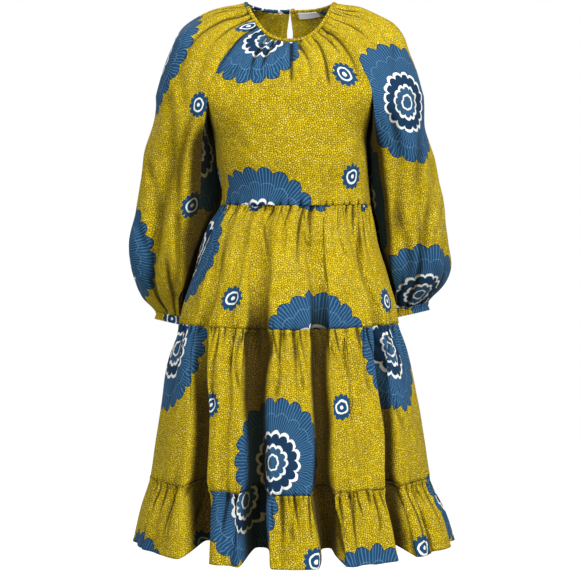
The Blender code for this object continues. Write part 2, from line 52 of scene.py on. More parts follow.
# Drops, in metres below the neck's sides, as in the part's source
UNDERARM, WAIST, SEAM_2, SEAM_3, HEM = 0.166, 0.360, 0.572, 0.845, 0.964
NECK_TO_UNDERARM = 7  # rings over the shoulders, as levels of the yoke table
SEAM_GAP = 0.0003
BESIDE_BODICE, BESIDE_SKIRT, VALLEY_LIFT = 0.005, 0.0065, 0.50
BACK_GATHER = 0.0024  # deepest gather of the back neck
CUFF_SLANT = 0.22  # rise of the cuffs for their width
SHADE_BETWEEN, SHADE_CREASES, SHADE_GATHERS = 0.97, 0.62, 0.84  # darkest shade of each kind
SEAM_SEEDS = {WAIST: 21, SEAM_2: 71, SEAM_3: 81}  # of the gathers that hang from each seam
WAVES = (5, 0.075, 0.0008)  # seed, span and size of the waves all over the upper cloth

# Columns and rows of the fine sheets, and the points of a smooth ring
FRONT_COLUMNS, SIDE_COLUMNS, CAP_COLUMNS = 144, 36, 144
TIER_1_COLUMNS, TIER_COLUMNS, FINE = 720, 960, 2880
YOKE_ROWS, BODICE_ROWS, SLEEVE_ROWS = 52, 76, 104
TIER_ROWS = (50, 60, 40)
WIDEST_ROW = 60  # of a sleeve, which measures its cut across


class Table:
    """Rows of numbers under named columns, read smoothly along the first column."""

    def __init__(self, names, rows):
        self.key = names[0]
        self.columns = dict(zip(names, np.array(rows, dtype=float).T))

    def read(self, name, at):
        x, y = self.columns[self.key], self.columns[name]
        at = np.clip(np.asarray(at, dtype=float), x[0], x[-1])
        slope = np.gradient(y, x)
        k = np.clip(np.searchsorted(x, at) - 1, 0, len(x) - 2)
        width = x[k + 1] - x[k]
        t = (at - x[k]) / width
        rise = y[k] * (1 + 2 * t) * (1 - t) ** 2 + y[k + 1] * t * t * (3 - 2 * t)
        return rise + width * (slope[k] * t * (1 - t) ** 2 - slope[k + 1] * t * t * (1 - t))


YOKE = Table(
    ("level", "half_width", "side_drop", "front_depth", "front_drop", "back_depth", "back_drop",
     "front_raglan", "back_raglan", "squareness"),
    (
        (0, 0.083, -0.003, 0.072, 0.073, 0.068, 0.006, 47, 52, 2.15),
        (1, 0.124, 0.004, 0.088, 0.086, 0.080, 0.022, 50, 55, 2.20),
        (2, 0.160, 0.018, 0.099, 0.099, 0.088, 0.040, 54, 57, 2.30),
        (3, 0.188, 0.036, 0.107, 0.112, 0.094, 0.062, 57, 58, 2.40),
        (4, 0.204, 0.057, 0.112, 0.126, 0.098, 0.087, 58, 58, 2.50),
        (5, 0.213, 0.079, 0.114, 0.140, 0.100, 0.113, 58, 58, 2.55),
        (6, 0.225, 0.112, 0.115, 0.153, 0.101, 0.140, 58, 58, 2.60),
        (7, 0.240, 0.166, 0.115, 0.166, 0.101, 0.166, 59, 59, 2.60),
    ),
)

BODY = Table(
    ("drop", "half_width", "centre_x", "front_depth", "back_depth", "squareness"),
    (
        (0.166, 0.1425, 0.000, 0.115, 0.101, 3.0),
        (0.220, 0.1365, 0.000, 0.116, 0.097, 2.6),
        (0.280, 0.1350, 0.004, 0.110, 0.090, 2.4),
        (0.360, 0.1355, 0.010, 0.099, 0.085, 2.2),
        (0.390, 0.1480, 0.0035, 0.111, 0.098, 2.15),
        (0.430, 0.1590, 0.000, 0.125, 0.112, 2.1),
        (0.480, 0.1740, -0.0005, 0.141, 0.128, 2.1),
        (0.530, 0.1885, -0.0025, 0.155, 0.142, 2.1),
        (0.572, 0.1990, -0.0035, 0.165, 0.152, 2.1),
        (0.630, 0.2165, -0.0025, 0.179, 0.167, 2.1),
        (0.700, 0.2295, -0.0015, 0.191, 0.181, 2.1),
        (0.780, 0.2420, -0.0005, 0.201, 0.193, 2.1),
        (0.845, 0.2530, -0.0005, 0.209, 0.201, 2.1),
        (0.910, 0.2765, 0.004, 0.219, 0.212, 2.1),
        (0.964, 0.2895, 0.006, 0.228, 0.220, 2.1),
    ),
)

SAG = Table(
    ("drop", "front", "back"),
    ((0.166, 0.000, 0.000), (0.360, 0.004, 0.002), (0.572, 0.009, 0.007),
     (0.845, 0.018, 0.016), (0.964, 0.023, 0.024)),
)

SLEEVE_NAMES = ("drop", "outer_x", "centre_y", "half_width", "half_depth")
SLEEVE_RIGHT = Table(
    SLEEVE_NAMES,
    (
        (0.166, 0.2400, 0.000, 0.052, 0.088),
        (0.205, 0.2470, 0.008, 0.056, 0.086),
        (0.250, 0.2530, 0.016, 0.060, 0.083),
        (0.310, 0.2640, 0.028, 0.064, 0.080),
        (0.370, 0.2770, 0.040, 0.068, 0.080),
        (0.425, 0.2870, 0.052, 0.072, 0.081),
        (0.475, 0.2930, 0.062, 0.075, 0.080),
        (0.505, 0.2840, 0.076, 0.070, 0.072),
        (0.530, 0.2680, 0.091, 0.058, 0.058),
        (0.545, 0.2560, 0.099, 0.047, 0.046),
    ),
)
SLEEVE_LEFT = Table(
    SLEEVE_NAMES,
    (
        (0.166, -0.2410, 0.000, 0.052, 0.088),
        (0.205, -0.2490, 0.008, 0.058, 0.086),
        (0.250, -0.2590, 0.016, 0.064, 0.083),
        (0.310, -0.2700, 0.028, 0.071, 0.080),
        (0.370, -0.2810, 0.040, 0.077, 0.080),
        (0.425, -0.2950, 0.052, 0.080, 0.081),
        (0.460, -0.2930, 0.058, 0.078, 0.081),
        (0.505, -0.2810, 0.076, 0.070, 0.072),
        (0.540, -0.2640, 0.097, 0.057, 0.058),
        (0.561, -0.2490, 0.107, 0.047, 0.046),
    ),
)

FOLD_NAMES = ("waist_x", "seam_2_x", "seam_3_x", "hem_x", "waist_deep", "seam_2_deep",
              "seam_3_deep", "hem_deep", "top_reach", "hem_reach")
FRONT_FOLDS = (
    (-0.100, -0.158, -0.164, -0.172, 0.000, 0.010, 0.036, 0.060, 0.014, 0.020),
    (-0.048, -0.058, -0.061, -0.061, 0.006, 0.020, 0.036, 0.058, 0.018, 0.020),
    (0.043, 0.050, 0.060, 0.071, 0.006, 0.019, 0.034, 0.056, 0.013, 0.016),
    (0.106, 0.158, 0.182, 0.202, 0.003, 0.010, 0.027, 0.046, 0.011, 0.014),
    (-0.080, -0.112, -0.116, -0.110, 0.000, 0.005, 0.005, 0.002, 0.010, 0.012),
    (0.070, 0.086, 0.090, 0.095, 0.000, 0.005, 0.005, 0.002, 0.010, 0.012),
    (0.082, 0.112, 0.128, 0.134, 0.000, 0.005, 0.005, 0.003, 0.009, 0.012),
)
BACK_FOLDS = (
    (0.100, 0.150, 0.158, 0.168, 0.002, 0.009, 0.028, 0.042, 0.014, 0.020),
    (0.040, 0.062, 0.072, 0.076, 0.004, 0.010, 0.026, 0.044, 0.014, 0.018),
    (-0.020, -0.022, -0.014, -0.010, 0.004, 0.009, 0.022, 0.038, 0.013, 0.018),
    (-0.070, -0.096, -0.100, -0.098, 0.003, 0.010, 0.027, 0.043, 0.013, 0.019),
    (-0.100, -0.160, -0.178, -0.192, 0.000, 0.006, 0.018, 0.032, 0.012, 0.018),
    (0.015, 0.022, 0.030, 0.034, 0.000, 0.005, 0.006, 0.004, 0.010, 0.013),
)

SLIT = (0.0006, 0.0030, 0.0055, 0.0045, 0.0)  # half the back slit's width at the first yoke levels

# Creases of the cloth above the waist, in millimetres seen from the front: from, to, depth, reach
FRONT_CREASES = (
    (-58, -50, -120, -162, 3.0, 5), (-27, -59, -67, -122, 2.6, 4), (-5, -63, -32, -112, 2.2, 4),
    (18, -63, 11, -99, 1.8, 4), (40, -59, 58, -126, 2.2, 4), (58, -50, 99, -135, 2.4, 5),
    (-84, -40, -128, -118, 3.5, 6), (81, -36, 149, -103, 3.5, 6), (-110, -150, -60, -250, 1.5, 9),
    (115, -150, 60, -240, 1.5, 9), (-120, -230, -40, -300, 1.2, 8), (110, -240, 40, -310, 1.2, 8),
    (-150, -60, -165, -200, 2.5, 9), (-190, -90, -200, -300, 3.0, 11),
    (-180, -190, -204, -470, 9.0, 12), (-214, -160, -234, -430, 7.0, 13),
    (-252, -280, -246, -520, 8.0, 11), (-196, -380, -214, -550, 8.0, 10), (-272, -360, -258, -540, 5.0, 8),
    (140, -50, 165, -180, 2.5, 9), (185, -80, 200, -260, 4.0, 9), (176, -200, 206, -450, 9.0, 12),
    (220, -160, 240, -400, 7.0, 13), (252, -280, 248, -500, 8.0, 11), (200, -380, 218, -530, 8.0, 10),
    (272, -340, 262, -520, 5.0, 8),
)
# The same for the skirt, where they run down from the seams
SKIRT_CREASES = (
    (-98, -368, -132, -520, 3.5, 5.0), (-46, -366, -42, -530, 3.5, 4.5), (-14, -364, -10, -450, 4.0, 3.2),
    (28, -364, 34, -455, 4.5, 3.2), (52, -364, 68, -540, 6.0, 3.6), (84, -364, 100, -470, 4.5, 3.2),
    (115, -366, 156, -572, 7.0, 4.0), (-166, -588, -186, -760, 4.0, 5.0), (-130, -590, -137, -730, 5.0, 4.0),
    (-92, -590, -92, -700, 5.0, 4.0), (-26, -590, -22, -720, 5.0, 4.0), (16, -590, 18, -700, 4.5, 4.0),
    (98, -590, 104, -760, 5.5, 4.0), (128, -590, 142, -710, 5.0, 4.0), (172, -590, 204, -790, 4.5, 5.0),
    (-150, -870, -160, -950, 5.0, 5.0), (-84, -872, -82, -950, 5.0, 5.0), (8, -872, 4, -955, 5.0, 5.0),
    (84, -872, 92, -950, 5.0, 5.0), (150, -870, 160, -950, 5.0, 5.0), (228, -866, 246, -940, 4.0, 5.0),
)
BACK_CREASES = (
    (52, -20, 104, -140, 3.0, 6), (24, -22, 44, -120, 2.4, 5), (-18, -24, -36, -118, 2.2, 5),
    (-56, -18, -108, -146, 3.0, 6), (-90, -12, -140, -110, 3.4, 7), (88, -14, 146, -106, 3.4, 7),
    (112, -150, 56, -250, 1.5, 9), (-112, -150, -64, -244, 1.5, 9), (150, -60, 172, -200, 2.5, 9),
    (190, -100, 204, -310, 3.0, 11), (178, -210, 222, -420, 3.0, 12), (250, -330, 244, -480, 3.0, 9),
    (-148, -64, -168, -210, 2.5, 9), (-192, -96, -206, -300, 3.0, 11),
    (-176, -204, -218, -414, 3.0, 12), (-250, -340, -246, -480, 3.0, 9),
)


def smoothstep(t):
    t = np.clip(t, 0.0, 1.0)
    return t * t * (3 - 2 * t)


def even(points, count):
    """The same open line with count + 1 points, evenly spaced."""
    length = np.concatenate(([0.0], np.cumsum(np.linalg.norm(np.diff(points, axis=0), axis=1))))
    at = np.linspace(0.0, length[-1], count + 1)
    return np.stack([np.interp(at, length, points[:, k]) for k in range(3)], axis=1)


def superellipse(angle, half_width, front_depth, back_depth, squareness):
    c, s = np.cos(angle), np.sin(angle)
    power = 2.0 / squareness
    depth = np.where(s < 0, front_depth, back_depth)
    return (half_width * np.sign(c) * np.abs(c) ** power, depth * np.sign(s) * np.abs(s) ** power)


def yoke_arc(level, start, stop, count):
    """Evenly spaced points of a ring over the shoulders, between two angles in degrees."""
    read = {name: float(YOKE.read(name, level)) for name in YOKE.columns}
    angle = np.radians(np.linspace(start, stop, FINE))
    x, y = superellipse(angle, read["half_width"], read["front_depth"], read["back_depth"],
                        read["squareness"])
    toward = 1 - (1 - np.sin(angle) ** 2) ** 1.25
    centre_drop = np.where(np.sin(angle) < 0, read["front_drop"], read["back_drop"])
    drop = read["side_drop"] + (centre_drop - read["side_drop"]) * toward
    return even(np.stack([x, y, -drop], axis=1), count)


def yoke_row(level):
    """A whole ring: right sleeve, back, left sleeve, front, from the right front raglan seam."""
    front = float(YOKE.read("front_raglan", level))
    back = float(YOKE.read("back_raglan", level))
    stops = ((-front, back, CAP_COLUMNS), (back, 180 - back, FRONT_COLUMNS),
             (180 - back, 180 + front, CAP_COLUMNS), (180 + front, 360 - front, FRONT_COLUMNS))
    return np.concatenate([yoke_arc(level, a, b, count)[:-1] for a, b, count in stops])


UNDERARM_RING = yoke_row(NECK_TO_UNDERARM)
CORNERS = np.cumsum((0, CAP_COLUMNS, FRONT_COLUMNS, CAP_COLUMNS, FRONT_COLUMNS))


def underarm_arc(front_point, back_point, side, away):
    """The armhole's lowest stretch, from the front to the back raglan point, bowed outwards."""
    t = np.linspace(0.0, 1.0, SIDE_COLUMNS + 1)[:, None]
    arc = front_point + (back_point - front_point) * t
    arc[:, 0] += side * (0.006 * 4 * t[:, 0] * (1 - t[:, 0]) + away)
    return arc


def body_ring(drop):
    """The body's smooth ring at a drop, evenly spaced from the right side, closed at its end."""
    angle = np.linspace(0.0, 2 * math.pi, FINE + 1)
    x, y = superellipse(angle, *(float(BODY.read(name, drop)) for name in
                                 ("half_width", "front_depth", "back_depth", "squareness")))
    x = x + float(BODY.read("centre_x", drop))
    share = np.sin(angle) ** 2
    sag = np.where(y < 0, float(SAG.read("front", drop)), float(SAG.read("back", drop)))
    return even(np.stack([x, y, -(drop + sag * share)], axis=1), FINE)


def bodice_row(drop):
    """A ring of the bodice: right side, back, left side, front, from the right raglan point."""
    right_front, right_back, left_back, left_front = UNDERARM_RING[CORNERS[:4]]
    start = np.concatenate([
        underarm_arc(right_front, right_back, 1, 0)[:-1],
        UNDERARM_RING[CORNERS[1]:CORNERS[2]],
        underarm_arc(left_back, left_front, -1, 0)[:-1],
        UNDERARM_RING[CORNERS[3]:],
    ])
    smooth = body_ring(drop)
    quarter, reach = FINE // 4, int(FINE * 0.06)
    stops = ((-reach, reach, SIDE_COLUMNS), (reach, 2 * quarter - reach, FRONT_COLUMNS),
             (2 * quarter - reach, 2 * quarter + reach, SIDE_COLUMNS),
             (2 * quarter + reach, FINE - reach, FRONT_COLUMNS))
    loop = np.concatenate([smooth[:-1], smooth[:-1]])
    ring = np.concatenate([even(loop[FINE + a:FINE + b + 1] if a < 0 else loop[a:b + 1], n)[:-1]
                           for a, b, n in stops])
    start = start + np.array([0.0, 0.0, UNDERARM - drop])
    return start + (ring - start) * smoothstep((drop - UNDERARM) / 0.085)


def outward(ring):
    """Level outward directions of an evenly spaced closed ring without its repeated point."""
    ahead = np.roll(ring, -1, axis=0) - ring
    ahead[:, 2] = 0.0
    ahead /= np.linalg.norm(ahead, axis=1)[:, None]
    along = ahead + np.roll(ahead, 1, axis=0)
    across = np.stack([along[:, 1], -along[:, 0], np.zeros(len(ring))], axis=1)
    return across / np.linalg.norm(across, axis=1)[:, None]


def folded_ring(drop, count, closing=0.0):
    """A ring of the skirt, its folds drawn in and their mouths closing, and the painted shade where they lie
    deep.
    """
    ring = body_ring(drop)
    stations = (WAIST, SEAM_2, SEAM_3, HEM)
    length = np.linalg.norm(np.diff(ring, axis=0), axis=1).sum()
    at = np.linspace(0.0, length, len(ring))
    half = len(ring) // 2
    inwards, sideways, dark = np.zeros(len(ring)), np.zeros(len(ring)), np.zeros(len(ring))
    for folds, part, sign in ((BACK_FOLDS, slice(0, half + 1), -1), (FRONT_FOLDS, slice(half, None), 1)):
        for row in folds:
            fold = dict(zip(FOLD_NAMES, row))
            x = np.interp(drop, stations, row[0:4]) + 0.0022 * math.sin(drop * 31 + row[0] * 90)
            deep = np.interp(drop, stations, row[4:8])
            reach = np.interp(drop, (SEAM_2, HEM), (fold["top_reach"], fold["hem_reach"]))
            centre = np.interp(sign * x, sign * ring[part, 0], at[part])
            away = ((at - centre + length / 2) % length - length / 2) / reach
            valley = np.exp(-np.abs(away) ** 4)
            inwards += deep * valley
            shade = smoothstep(deep / 0.020 - 0.12) * (0.2 + 0.8 * smoothstep((drop - 0.47) / 0.10))
            dark = np.maximum(dark, shade * smoothstep(valley / 0.5 - 0.3))
            sideways -= closing * deep * away * np.exp(-away ** 2)
    ring, inwards, sideways = ring[:-1], inwards[:-1], sideways[:-1]
    out = outward(ring)
    along = np.stack([-out[:, 1], out[:, 0], out[:, 2]], axis=1)
    ring = ring - out * inwards[:, None] + along * sideways[:, None]
    ring[:, 2] += VALLEY_LIFT * inwards * smoothstep((drop - SEAM_2) / (HEM - SEAM_2))
    picks = np.round(np.arange(count) * FINE / count).astype(int)
    return ring[picks], dark[picks]


def skirt_row(drop, count):
    return folded_ring(drop, count)[0]


def grid_directions(rows, closed):
    """Outward directions of a grid of rings, from the points beside and above."""
    if closed:
        along = np.roll(rows, -1, axis=1) - np.roll(rows, 1, axis=1)
    else:
        along = np.gradient(rows, axis=1)
    across = np.cross(np.gradient(rows, axis=0), along)
    return across / np.linalg.norm(across, axis=2)[:, :, None]


def push_off(points, ring, clearance):
    """Moves points out, seen from above, until they clear a ring that they hang beside."""
    centre = ring.mean(axis=0)
    bearing = np.arctan2(ring[:, 1] - centre[1], ring[:, 0] - centre[0])
    order = np.argsort(bearing)
    radius = np.hypot(ring[:, 0] - centre[0], ring[:, 1] - centre[1])
    away = points - centre
    here = np.arctan2(away[:, 1], away[:, 0])
    least = np.interp(here, bearing[order], radius[order], period=2 * math.pi) + clearance
    scale = np.maximum(1.0, least / np.hypot(away[:, 0], away[:, 1]))
    moved = points.copy()
    moved[:, :2] = centre[:2] + away[:, :2] * scale[:, None]
    return moved


def sleeve_ring(table, drop, side):
    """A section of the sleeve, from its front inner corner round the outside to the back."""
    half_width, outer = float(table.read("half_width", drop)), float(table.read("outer_x", drop))
    half_depth, centre_y = float(table.read("half_depth", drop)), float(table.read("centre_y", drop))
    centre_x = outer - side * half_width
    corner = math.radians(125)
    arcs = []
    for start, stop, count in ((-corner, corner, CAP_COLUMNS),
                               (corner, 2 * math.pi - corner, SIDE_COLUMNS)):
        angle = np.linspace(start, stop, FINE)
        x, y = superellipse(angle, half_width, half_depth, half_depth, 2.15)
        line = np.stack([centre_x + side * x, centre_y + y, np.full(FINE, -drop)], axis=1)
        arcs.append(even(line, count)[:-1])
    return np.concatenate(arcs)


def sleeve_tube(table, side, drops):
    """The sleeve's rings below the underarm, clear of the bodice and the skirt."""
    first, last = (CORNERS[0], CORNERS[1]) if side > 0 else (CORNERS[2], CORNERS[3])
    cap = UNDERARM_RING[first:last + 1][::1 if side > 0 else -1]
    under = underarm_arc(cap[0], cap[-1], side, SEAM_GAP)[::-1]
    start = np.concatenate([cap[:-1], under[:-1]])
    start[0] = under[-1]
    share = np.arange(len(start)) / len(start)
    slow = np.sin(2 * math.pi * share * 5 + side) + 0.5 * np.sin(2 * math.pi * share * 3)
    rows = []
    for drop in drops:
        lowered = start + np.array([0.0, 0.0, UNDERARM - drop])
        ring = lowered + (sleeve_ring(table, drop, side) - lowered) * smoothstep((drop - UNDERARM) / 0.11)
        gathered = math.exp(-(drops[-1] - drop) / 0.030)
        push = 0.0035 * smoothstep((drop - UNDERARM) / 0.12) * (1 - gathered) * slow
        ring = ring + side * outward(ring) * push[:, None]
        # The inner back of the sleeve is tucked behind the bodice's side
        inner = smoothstep((abs(float(table.read("outer_x", drop))) - 0.045 - np.abs(ring[:, 0])) / 0.03)
        behind = smoothstep((ring[:, 1] - 0.005) / 0.04) * smoothstep((drop - UNDERARM) / 0.03)
        ring[:, 0] -= side * 0.016 * inner * behind
        if drop > UNDERARM:
            body = bodice_row(drop) if drop < WAIST else skirt_row(drop, 720)
            margin = BESIDE_BODICE if drop < WAIST else BESIDE_SKIRT
            ring = push_off(ring, body, 2 * SEAM_GAP + margin * smoothstep((drop - UNDERARM) / 0.05))
        rows.append(ring)
    return np.array(rows)


def cuff_slant(points, side):
    """How much higher the cuff hangs on its outer side than under its middle."""
    x = side * points[..., 0]
    return CUFF_SLANT * (x - x[-1].mean() if x.ndim > 1 else x - x.mean())


def facing_body(out, drops, side):
    """How deep in the shade between sleeve and body each point of the sleeve lies."""
    toward = smoothstep((-side * out[:, :, 0] - 0.22) / 0.40)
    return SHADE_BETWEEN * toward * smoothstep((drops - UNDERARM + 0.01) / 0.05)[:, None]


def gathers(seed, length, spacing, deep, wide, long):
    """Valleys of a gathered edge: where each starts, its depth, reach and length, and its lean."""
    chance = np.random.default_rng(seed)
    count = max(3, int(round(length / spacing)))
    at = (np.arange(count) + chance.uniform(-0.4, 0.4, count)) * length / count
    return np.stack([at, deep * chance.uniform(0.45, 1.35, count), wide * chance.uniform(0.7, 1.3, count),
                     long * chance.lognormal(0.0, 0.45, count), chance.normal(0.0, 0.05, count)], axis=1)


def valleys(along, below, length, table):
    """How deep the gathers press the cloth in, at places along an edge and distances from it."""
    total = np.zeros(np.broadcast(along, below).shape)
    for at, deep, wide, long, lean in table:
        away = (along - at - lean * below + length / 2) % length - length / 2
        spread = np.abs(away / (wide * (1 + 0.7 * below / long))) ** 1.6
        total -= deep * np.exp(-spread - (below / long) ** 1.6)
    return total * (0.6 + 0.4 * smoothstep(below / 0.010))


def creases(points, facing, table):
    """Listed creases: a trough with soft banks, uneven along its length."""
    total = np.zeros(points.shape[:2])
    x, z = points[:, :, 0] * 1000, points[:, :, 2] * 1000
    for x1, z1, x2, z2, deep, reach in table:
        length = math.hypot(x2 - x1, z2 - z1)
        t = ((x - x1) * (x2 - x1) + (z - z1) * (z2 - z1)) / length ** 2
        bend = 0.04 * length * np.sin(math.pi * np.clip(t, 0, 1) * 1.7 + x1)
        off = ((x - x1) * (z2 - z1) - (z - z1) * (x2 - x1)) / length + bend
        r = (off / (reach * (0.8 + 0.5 * np.clip(t, 0, 1)))) ** 2
        ends = smoothstep(t / 0.12 + 0.5) * smoothstep((1 - t) / 0.3)
        uneven = 0.75 + 0.25 * np.sin(t * 9 + z1)
        total -= 0.001 * deep * uneven * ends * (1 - 0.7 * r) * np.exp(-r)
    return total * smoothstep(facing * 1.6)


def unevenness(points, seed, span, size):
    """Soft waves of the cloth, longer down the cloth than across it."""
    chance = np.random.default_rng(seed)
    total = np.zeros(points.shape[:2])
    for _ in range(14):
        wave = chance.normal(0.0, 1.0, 3) * np.array([1.0, 1.0, 0.45]) * 2 * math.pi / span
        total += np.sin(points @ wave + chance.uniform(0, 2 * math.pi))
    return total * size / math.sqrt(7.0)


def from_top(points):
    """Distance of each point from the first row, down its own column."""
    steps = np.linalg.norm(np.diff(points, axis=0), axis=2)
    return np.concatenate([np.zeros((1, points.shape[1])), np.cumsum(steps, axis=0)])


def from_ends(columns):
    """How many columns each column lies from the nearer end."""
    return np.minimum(np.arange(columns + 1), columns - np.arange(columns + 1))


def along_row(row):
    """Distance of each point of an open row from its first point."""
    return np.concatenate(([0.0], np.cumsum(np.linalg.norm(np.diff(row, axis=0), axis=1))))


def closed(grid):
    """Repeats a ring's first column at its end."""
    return np.concatenate([grid, grid[:, :1]], axis=1)


def groove(distance, deep=0.0004, reach=0.0014):
    """A seam's groove at a distance from it."""
    return -deep * np.exp(-(distance / reach) ** 2)


def shaded(push, reach=3, full=0.0018):
    """Painted shade of each point of a closed ring's grid, by how far into a fold of its gathers it lies."""
    beside = (np.roll(push, reach, axis=1) + np.roll(push, -reach, axis=1)) / 2
    return SHADE_GATHERS * smoothstep((beside - push) / full - 0.05)


def shadow(broad, fine):
    """The shade in soft creases, by their depth, and in gathers, by how narrow they are."""
    return np.maximum(SHADE_CREASES * smoothstep(-broad / 0.009), shaded(fine))


def linear(hex_colour):
    """An sRGB hex colour as linear red, green, blue and alpha."""
    parts = [int(hex_colour[k:k + 2], 16) / 255 for k in (1, 3, 5)]
    return (*(c / 12.92 if c <= 0.04045 else ((c + 0.055) / 1.055) ** 2.4 for c in parts), 1.0)


def output(tree, name):
    """The output that a node's name stands for, alone or with the socket's name after a dot."""
    node, _, socket = name.partition(".")
    outputs = tree.nodes[node].outputs
    return outputs[socket] if socket else next(each for each in outputs if each.enabled)


def add(tree, name, kind, inputs=(), **settings):
    """Adds a node with its settings, and its inputs as values or as names of earlier nodes."""
    made = tree.nodes.new("ShaderNode" + kind)
    made.name = name
    for key, value in settings.items():
        setattr(made, key, value)
    for key, value in inputs.items() if isinstance(inputs, dict) else enumerate(inputs):
        if isinstance(value, str):
            tree.links.new(output(tree, value), made.inputs[key])
        else:
            made.inputs[key].default_value = value
    return made


def into_shader(tree, colour, relief):
    """Links a colour and a relief to the material's shader."""
    shader = tree.nodes["Principled BSDF"]
    tree.links.new(output(tree, colour), shader.inputs["Base Color"])
    tree.links.new(output(tree, relief), shader.inputs["Normal"])


def new_material(name, roughness, **constants):
    """A material whose shader holds the finish's constant values."""
    made = bpy.data.materials.new(name)
    made.use_nodes = True
    shader = made.node_tree.nodes["Principled BSDF"]
    shader.inputs["Roughness"].default_value = roughness
    for key, value in constants.items():
        shader.inputs[key.replace("_", " ")].default_value = value
    return made


def printed_cotton(look):
    """Woven printed cotton lawn: a matt cloth with a faint sheen, its ink sunk into the weave."""
    made = new_material("printed_cotton_lawn", 0.85, Sheen_Weight=0.03, Sheen_Roughness=0.5,
                        Specular_IOR_Level=0.12)
    tree = made.node_tree

    def maths(name, operation, *inputs):
        add(tree, name, "Math", inputs, operation=operation)

    def vectors(name, operation, inputs):
        add(tree, name, "VectorMath", inputs, operation=operation)

    def mix(name, share, first, second):
        add(tree, name, "Mix", {0: share, 6: first, 7: second}, data_type="RGBA")

    def cell(name, value, span, start=0.0):
        """The place within a repeat of that span, from the middle of the repeat."""
        maths(name + "_count", "MULTIPLY_ADD", value, 1 / span, start)
        maths(name + "_part", "FRACT", name + "_count")
        maths(name, "MULTIPLY_ADD", name + "_part", span, -span / 2)

    def polar(name):
        """Radius and angle of a flower's own x and y."""
        add(tree, name + "_place", "CombineXYZ", (name + "_x", name + "_y"))
        vectors(name + "_radius", "LENGTH", (name + "_place",))
        maths(name + "_angle", "ARCTAN2", name + "_y", name + "_x")

    def petals(name, angle, half_count, turn=0.0):
        """A wave that falls to nothing between two petals."""
        maths(name + "_turn", "MULTIPLY_ADD", angle, half_count, turn)
        maths(name + "_wave", "COSINE", name + "_turn")
        maths(name + "_petal", "ABSOLUTE", name + "_wave")

    add(tree, "uv", "UVMap", uv_map="flat_cut")
    add(tree, "wobble", "TexNoise", {"Vector": "uv", "Scale": 55.0, "Detail": 2.0})
    vectors("centred", "SUBTRACT", ("wobble.Color", (0.5, 0.5, 0.5)))
    vectors("small_wobble", "SCALE", {0: "centred", "Scale": 0.007})
    vectors("hand", "ADD", ("uv", "small_wobble"))
    add(tree, "flat", "SeparateXYZ", ("hand",))
    # Ground: dark net between pebbles about 3.8 mm wide, with pale dots in some of them
    cells = {"Vector": "uv", "Scale": 1 / look.pebble, "Randomness": 0.9}
    add(tree, "net", "TexVoronoi", cells, feature="DISTANCE_TO_EDGE", voronoi_dimensions="2D")
    add(tree, "pebbles", "TexVoronoi", cells, voronoi_dimensions="2D")
    add(tree, "pebble_tone", "SeparateColor", ("pebbles.Color",))
    mix("ground_tone", "pebble_tone", look.mustard, look.ochre)
    maths("some", "GREATER_THAN", "pebble_tone.Green", 0.86)
    maths("dot", "LESS_THAN", "pebbles.Distance", 0.22)
    maths("pale_dot", "MULTIPLY", "some", "dot")
    mix("dotted", "pale_dot", "ground_tone", look.pale)
    maths("net_line", "LESS_THAN", "net.Distance", 0.10)
    mix("ground", "net_line", "dotted", look.net)
    # Large flowers in a half-drop repeat
    across, down, size = look.repeat_across, look.repeat_down, look.flower / 2
    cell("large_x", "flat.X", across)
    maths("column_number", "FLOOR", "large_x_count")
    maths("odd", "FLOORED_MODULO", "column_number", 2.0)
    maths("dropped", "MULTIPLY_ADD", "odd", down / 2, "flat.Y")
    cell("large_y", "dropped", down)
    polar("large")
    # Each ring of petals: half its count, turn, share of the flower's radius, depth of its scallops
    rings = {"outer": (11.0, 0.0, 1.00, 0.10), "second": (9.0, 0.35, 0.76, 0.11),
             "third": (8.0, 0.9, 0.50, 0.14), "fourth": (6.0, 0.3, 0.29, 0.16),
             "heart": (4.0, 0.2, 0.13, 0.10)}
    for name, (half_petals, turn, share, bite) in rings.items():
        petals(name, "large_angle", half_petals, turn)
        maths(name + "_round", "POWER", name + "_petal", 0.6)
        maths(name + "_reach", "MULTIPLY_ADD", name + "_round", size * share * bite,
              size * share * (1 - bite))
        maths(name + "_gap", "SUBTRACT", name + "_reach", "large_radius")
        maths(name + "_in", "GREATER_THAN", name + "_gap", 0.0)
    maths("streak_turn", "MULTIPLY", "large_angle", 105.0)
    maths("streak_jog", "MULTIPLY_ADD", "wobble", 9.0, "streak_turn")
    maths("streak_wave", "SINE", "streak_jog")
    maths("streak", "GREATER_THAN", "streak_wave", 0.60)
    maths("streak_soft", "MULTIPLY", "streak", 0.55)
    mix("blue", "streak_soft", look.indigo, look.vein)
    mix("deep_blue", "streak_soft", look.navy, look.indigo)
    # Each ring's edge colour, the edge's width in metres and the fill
    base = "ground"
    for name, edge, wide, fill in (
            ("outer", look.navy, 0.0016, "blue"), ("second", look.vein, 0.0009, "blue"),
            ("third", look.cream, 0.0058, "deep_blue"), ("fourth", look.cream, 0.0050, "blue"),
            ("heart", look.cream, 0.0034, "blue")):
        maths(name + "_edge", "LESS_THAN", name + "_gap", wide)
        mix(name + "_paint", name + "_edge", fill, edge)
        mix(name + "_over", name + "_in", base, name + "_paint")
        base = name + "_over"
    # Small twelve-petalled flowers between the columns of large ones
    sprig = look.sprig / 2
    cell("small_x", "flat.X", across, 0.5)
    cell("small_y", "flat.Y", down / 2)
    polar("small")
    petals("small", "small_angle", 6.0)
    maths("small_reach", "MULTIPLY_ADD", "small_petal", sprig * 0.22, sprig * 0.8)
    maths("small_in", "LESS_THAN", "small_radius", "small_reach")
    mix("small_over", "small_in", base, look.indigo)
    maths("small_ring", "COMPARE", "small_radius", sprig * 0.50, sprig * 0.07)
    mix("small_ringed", "small_ring", "small_over", look.cream)
    maths("small_core", "LESS_THAN", "small_radius", sprig * 0.16)
    mix("printed", "small_core", "small_ringed", look.cream)
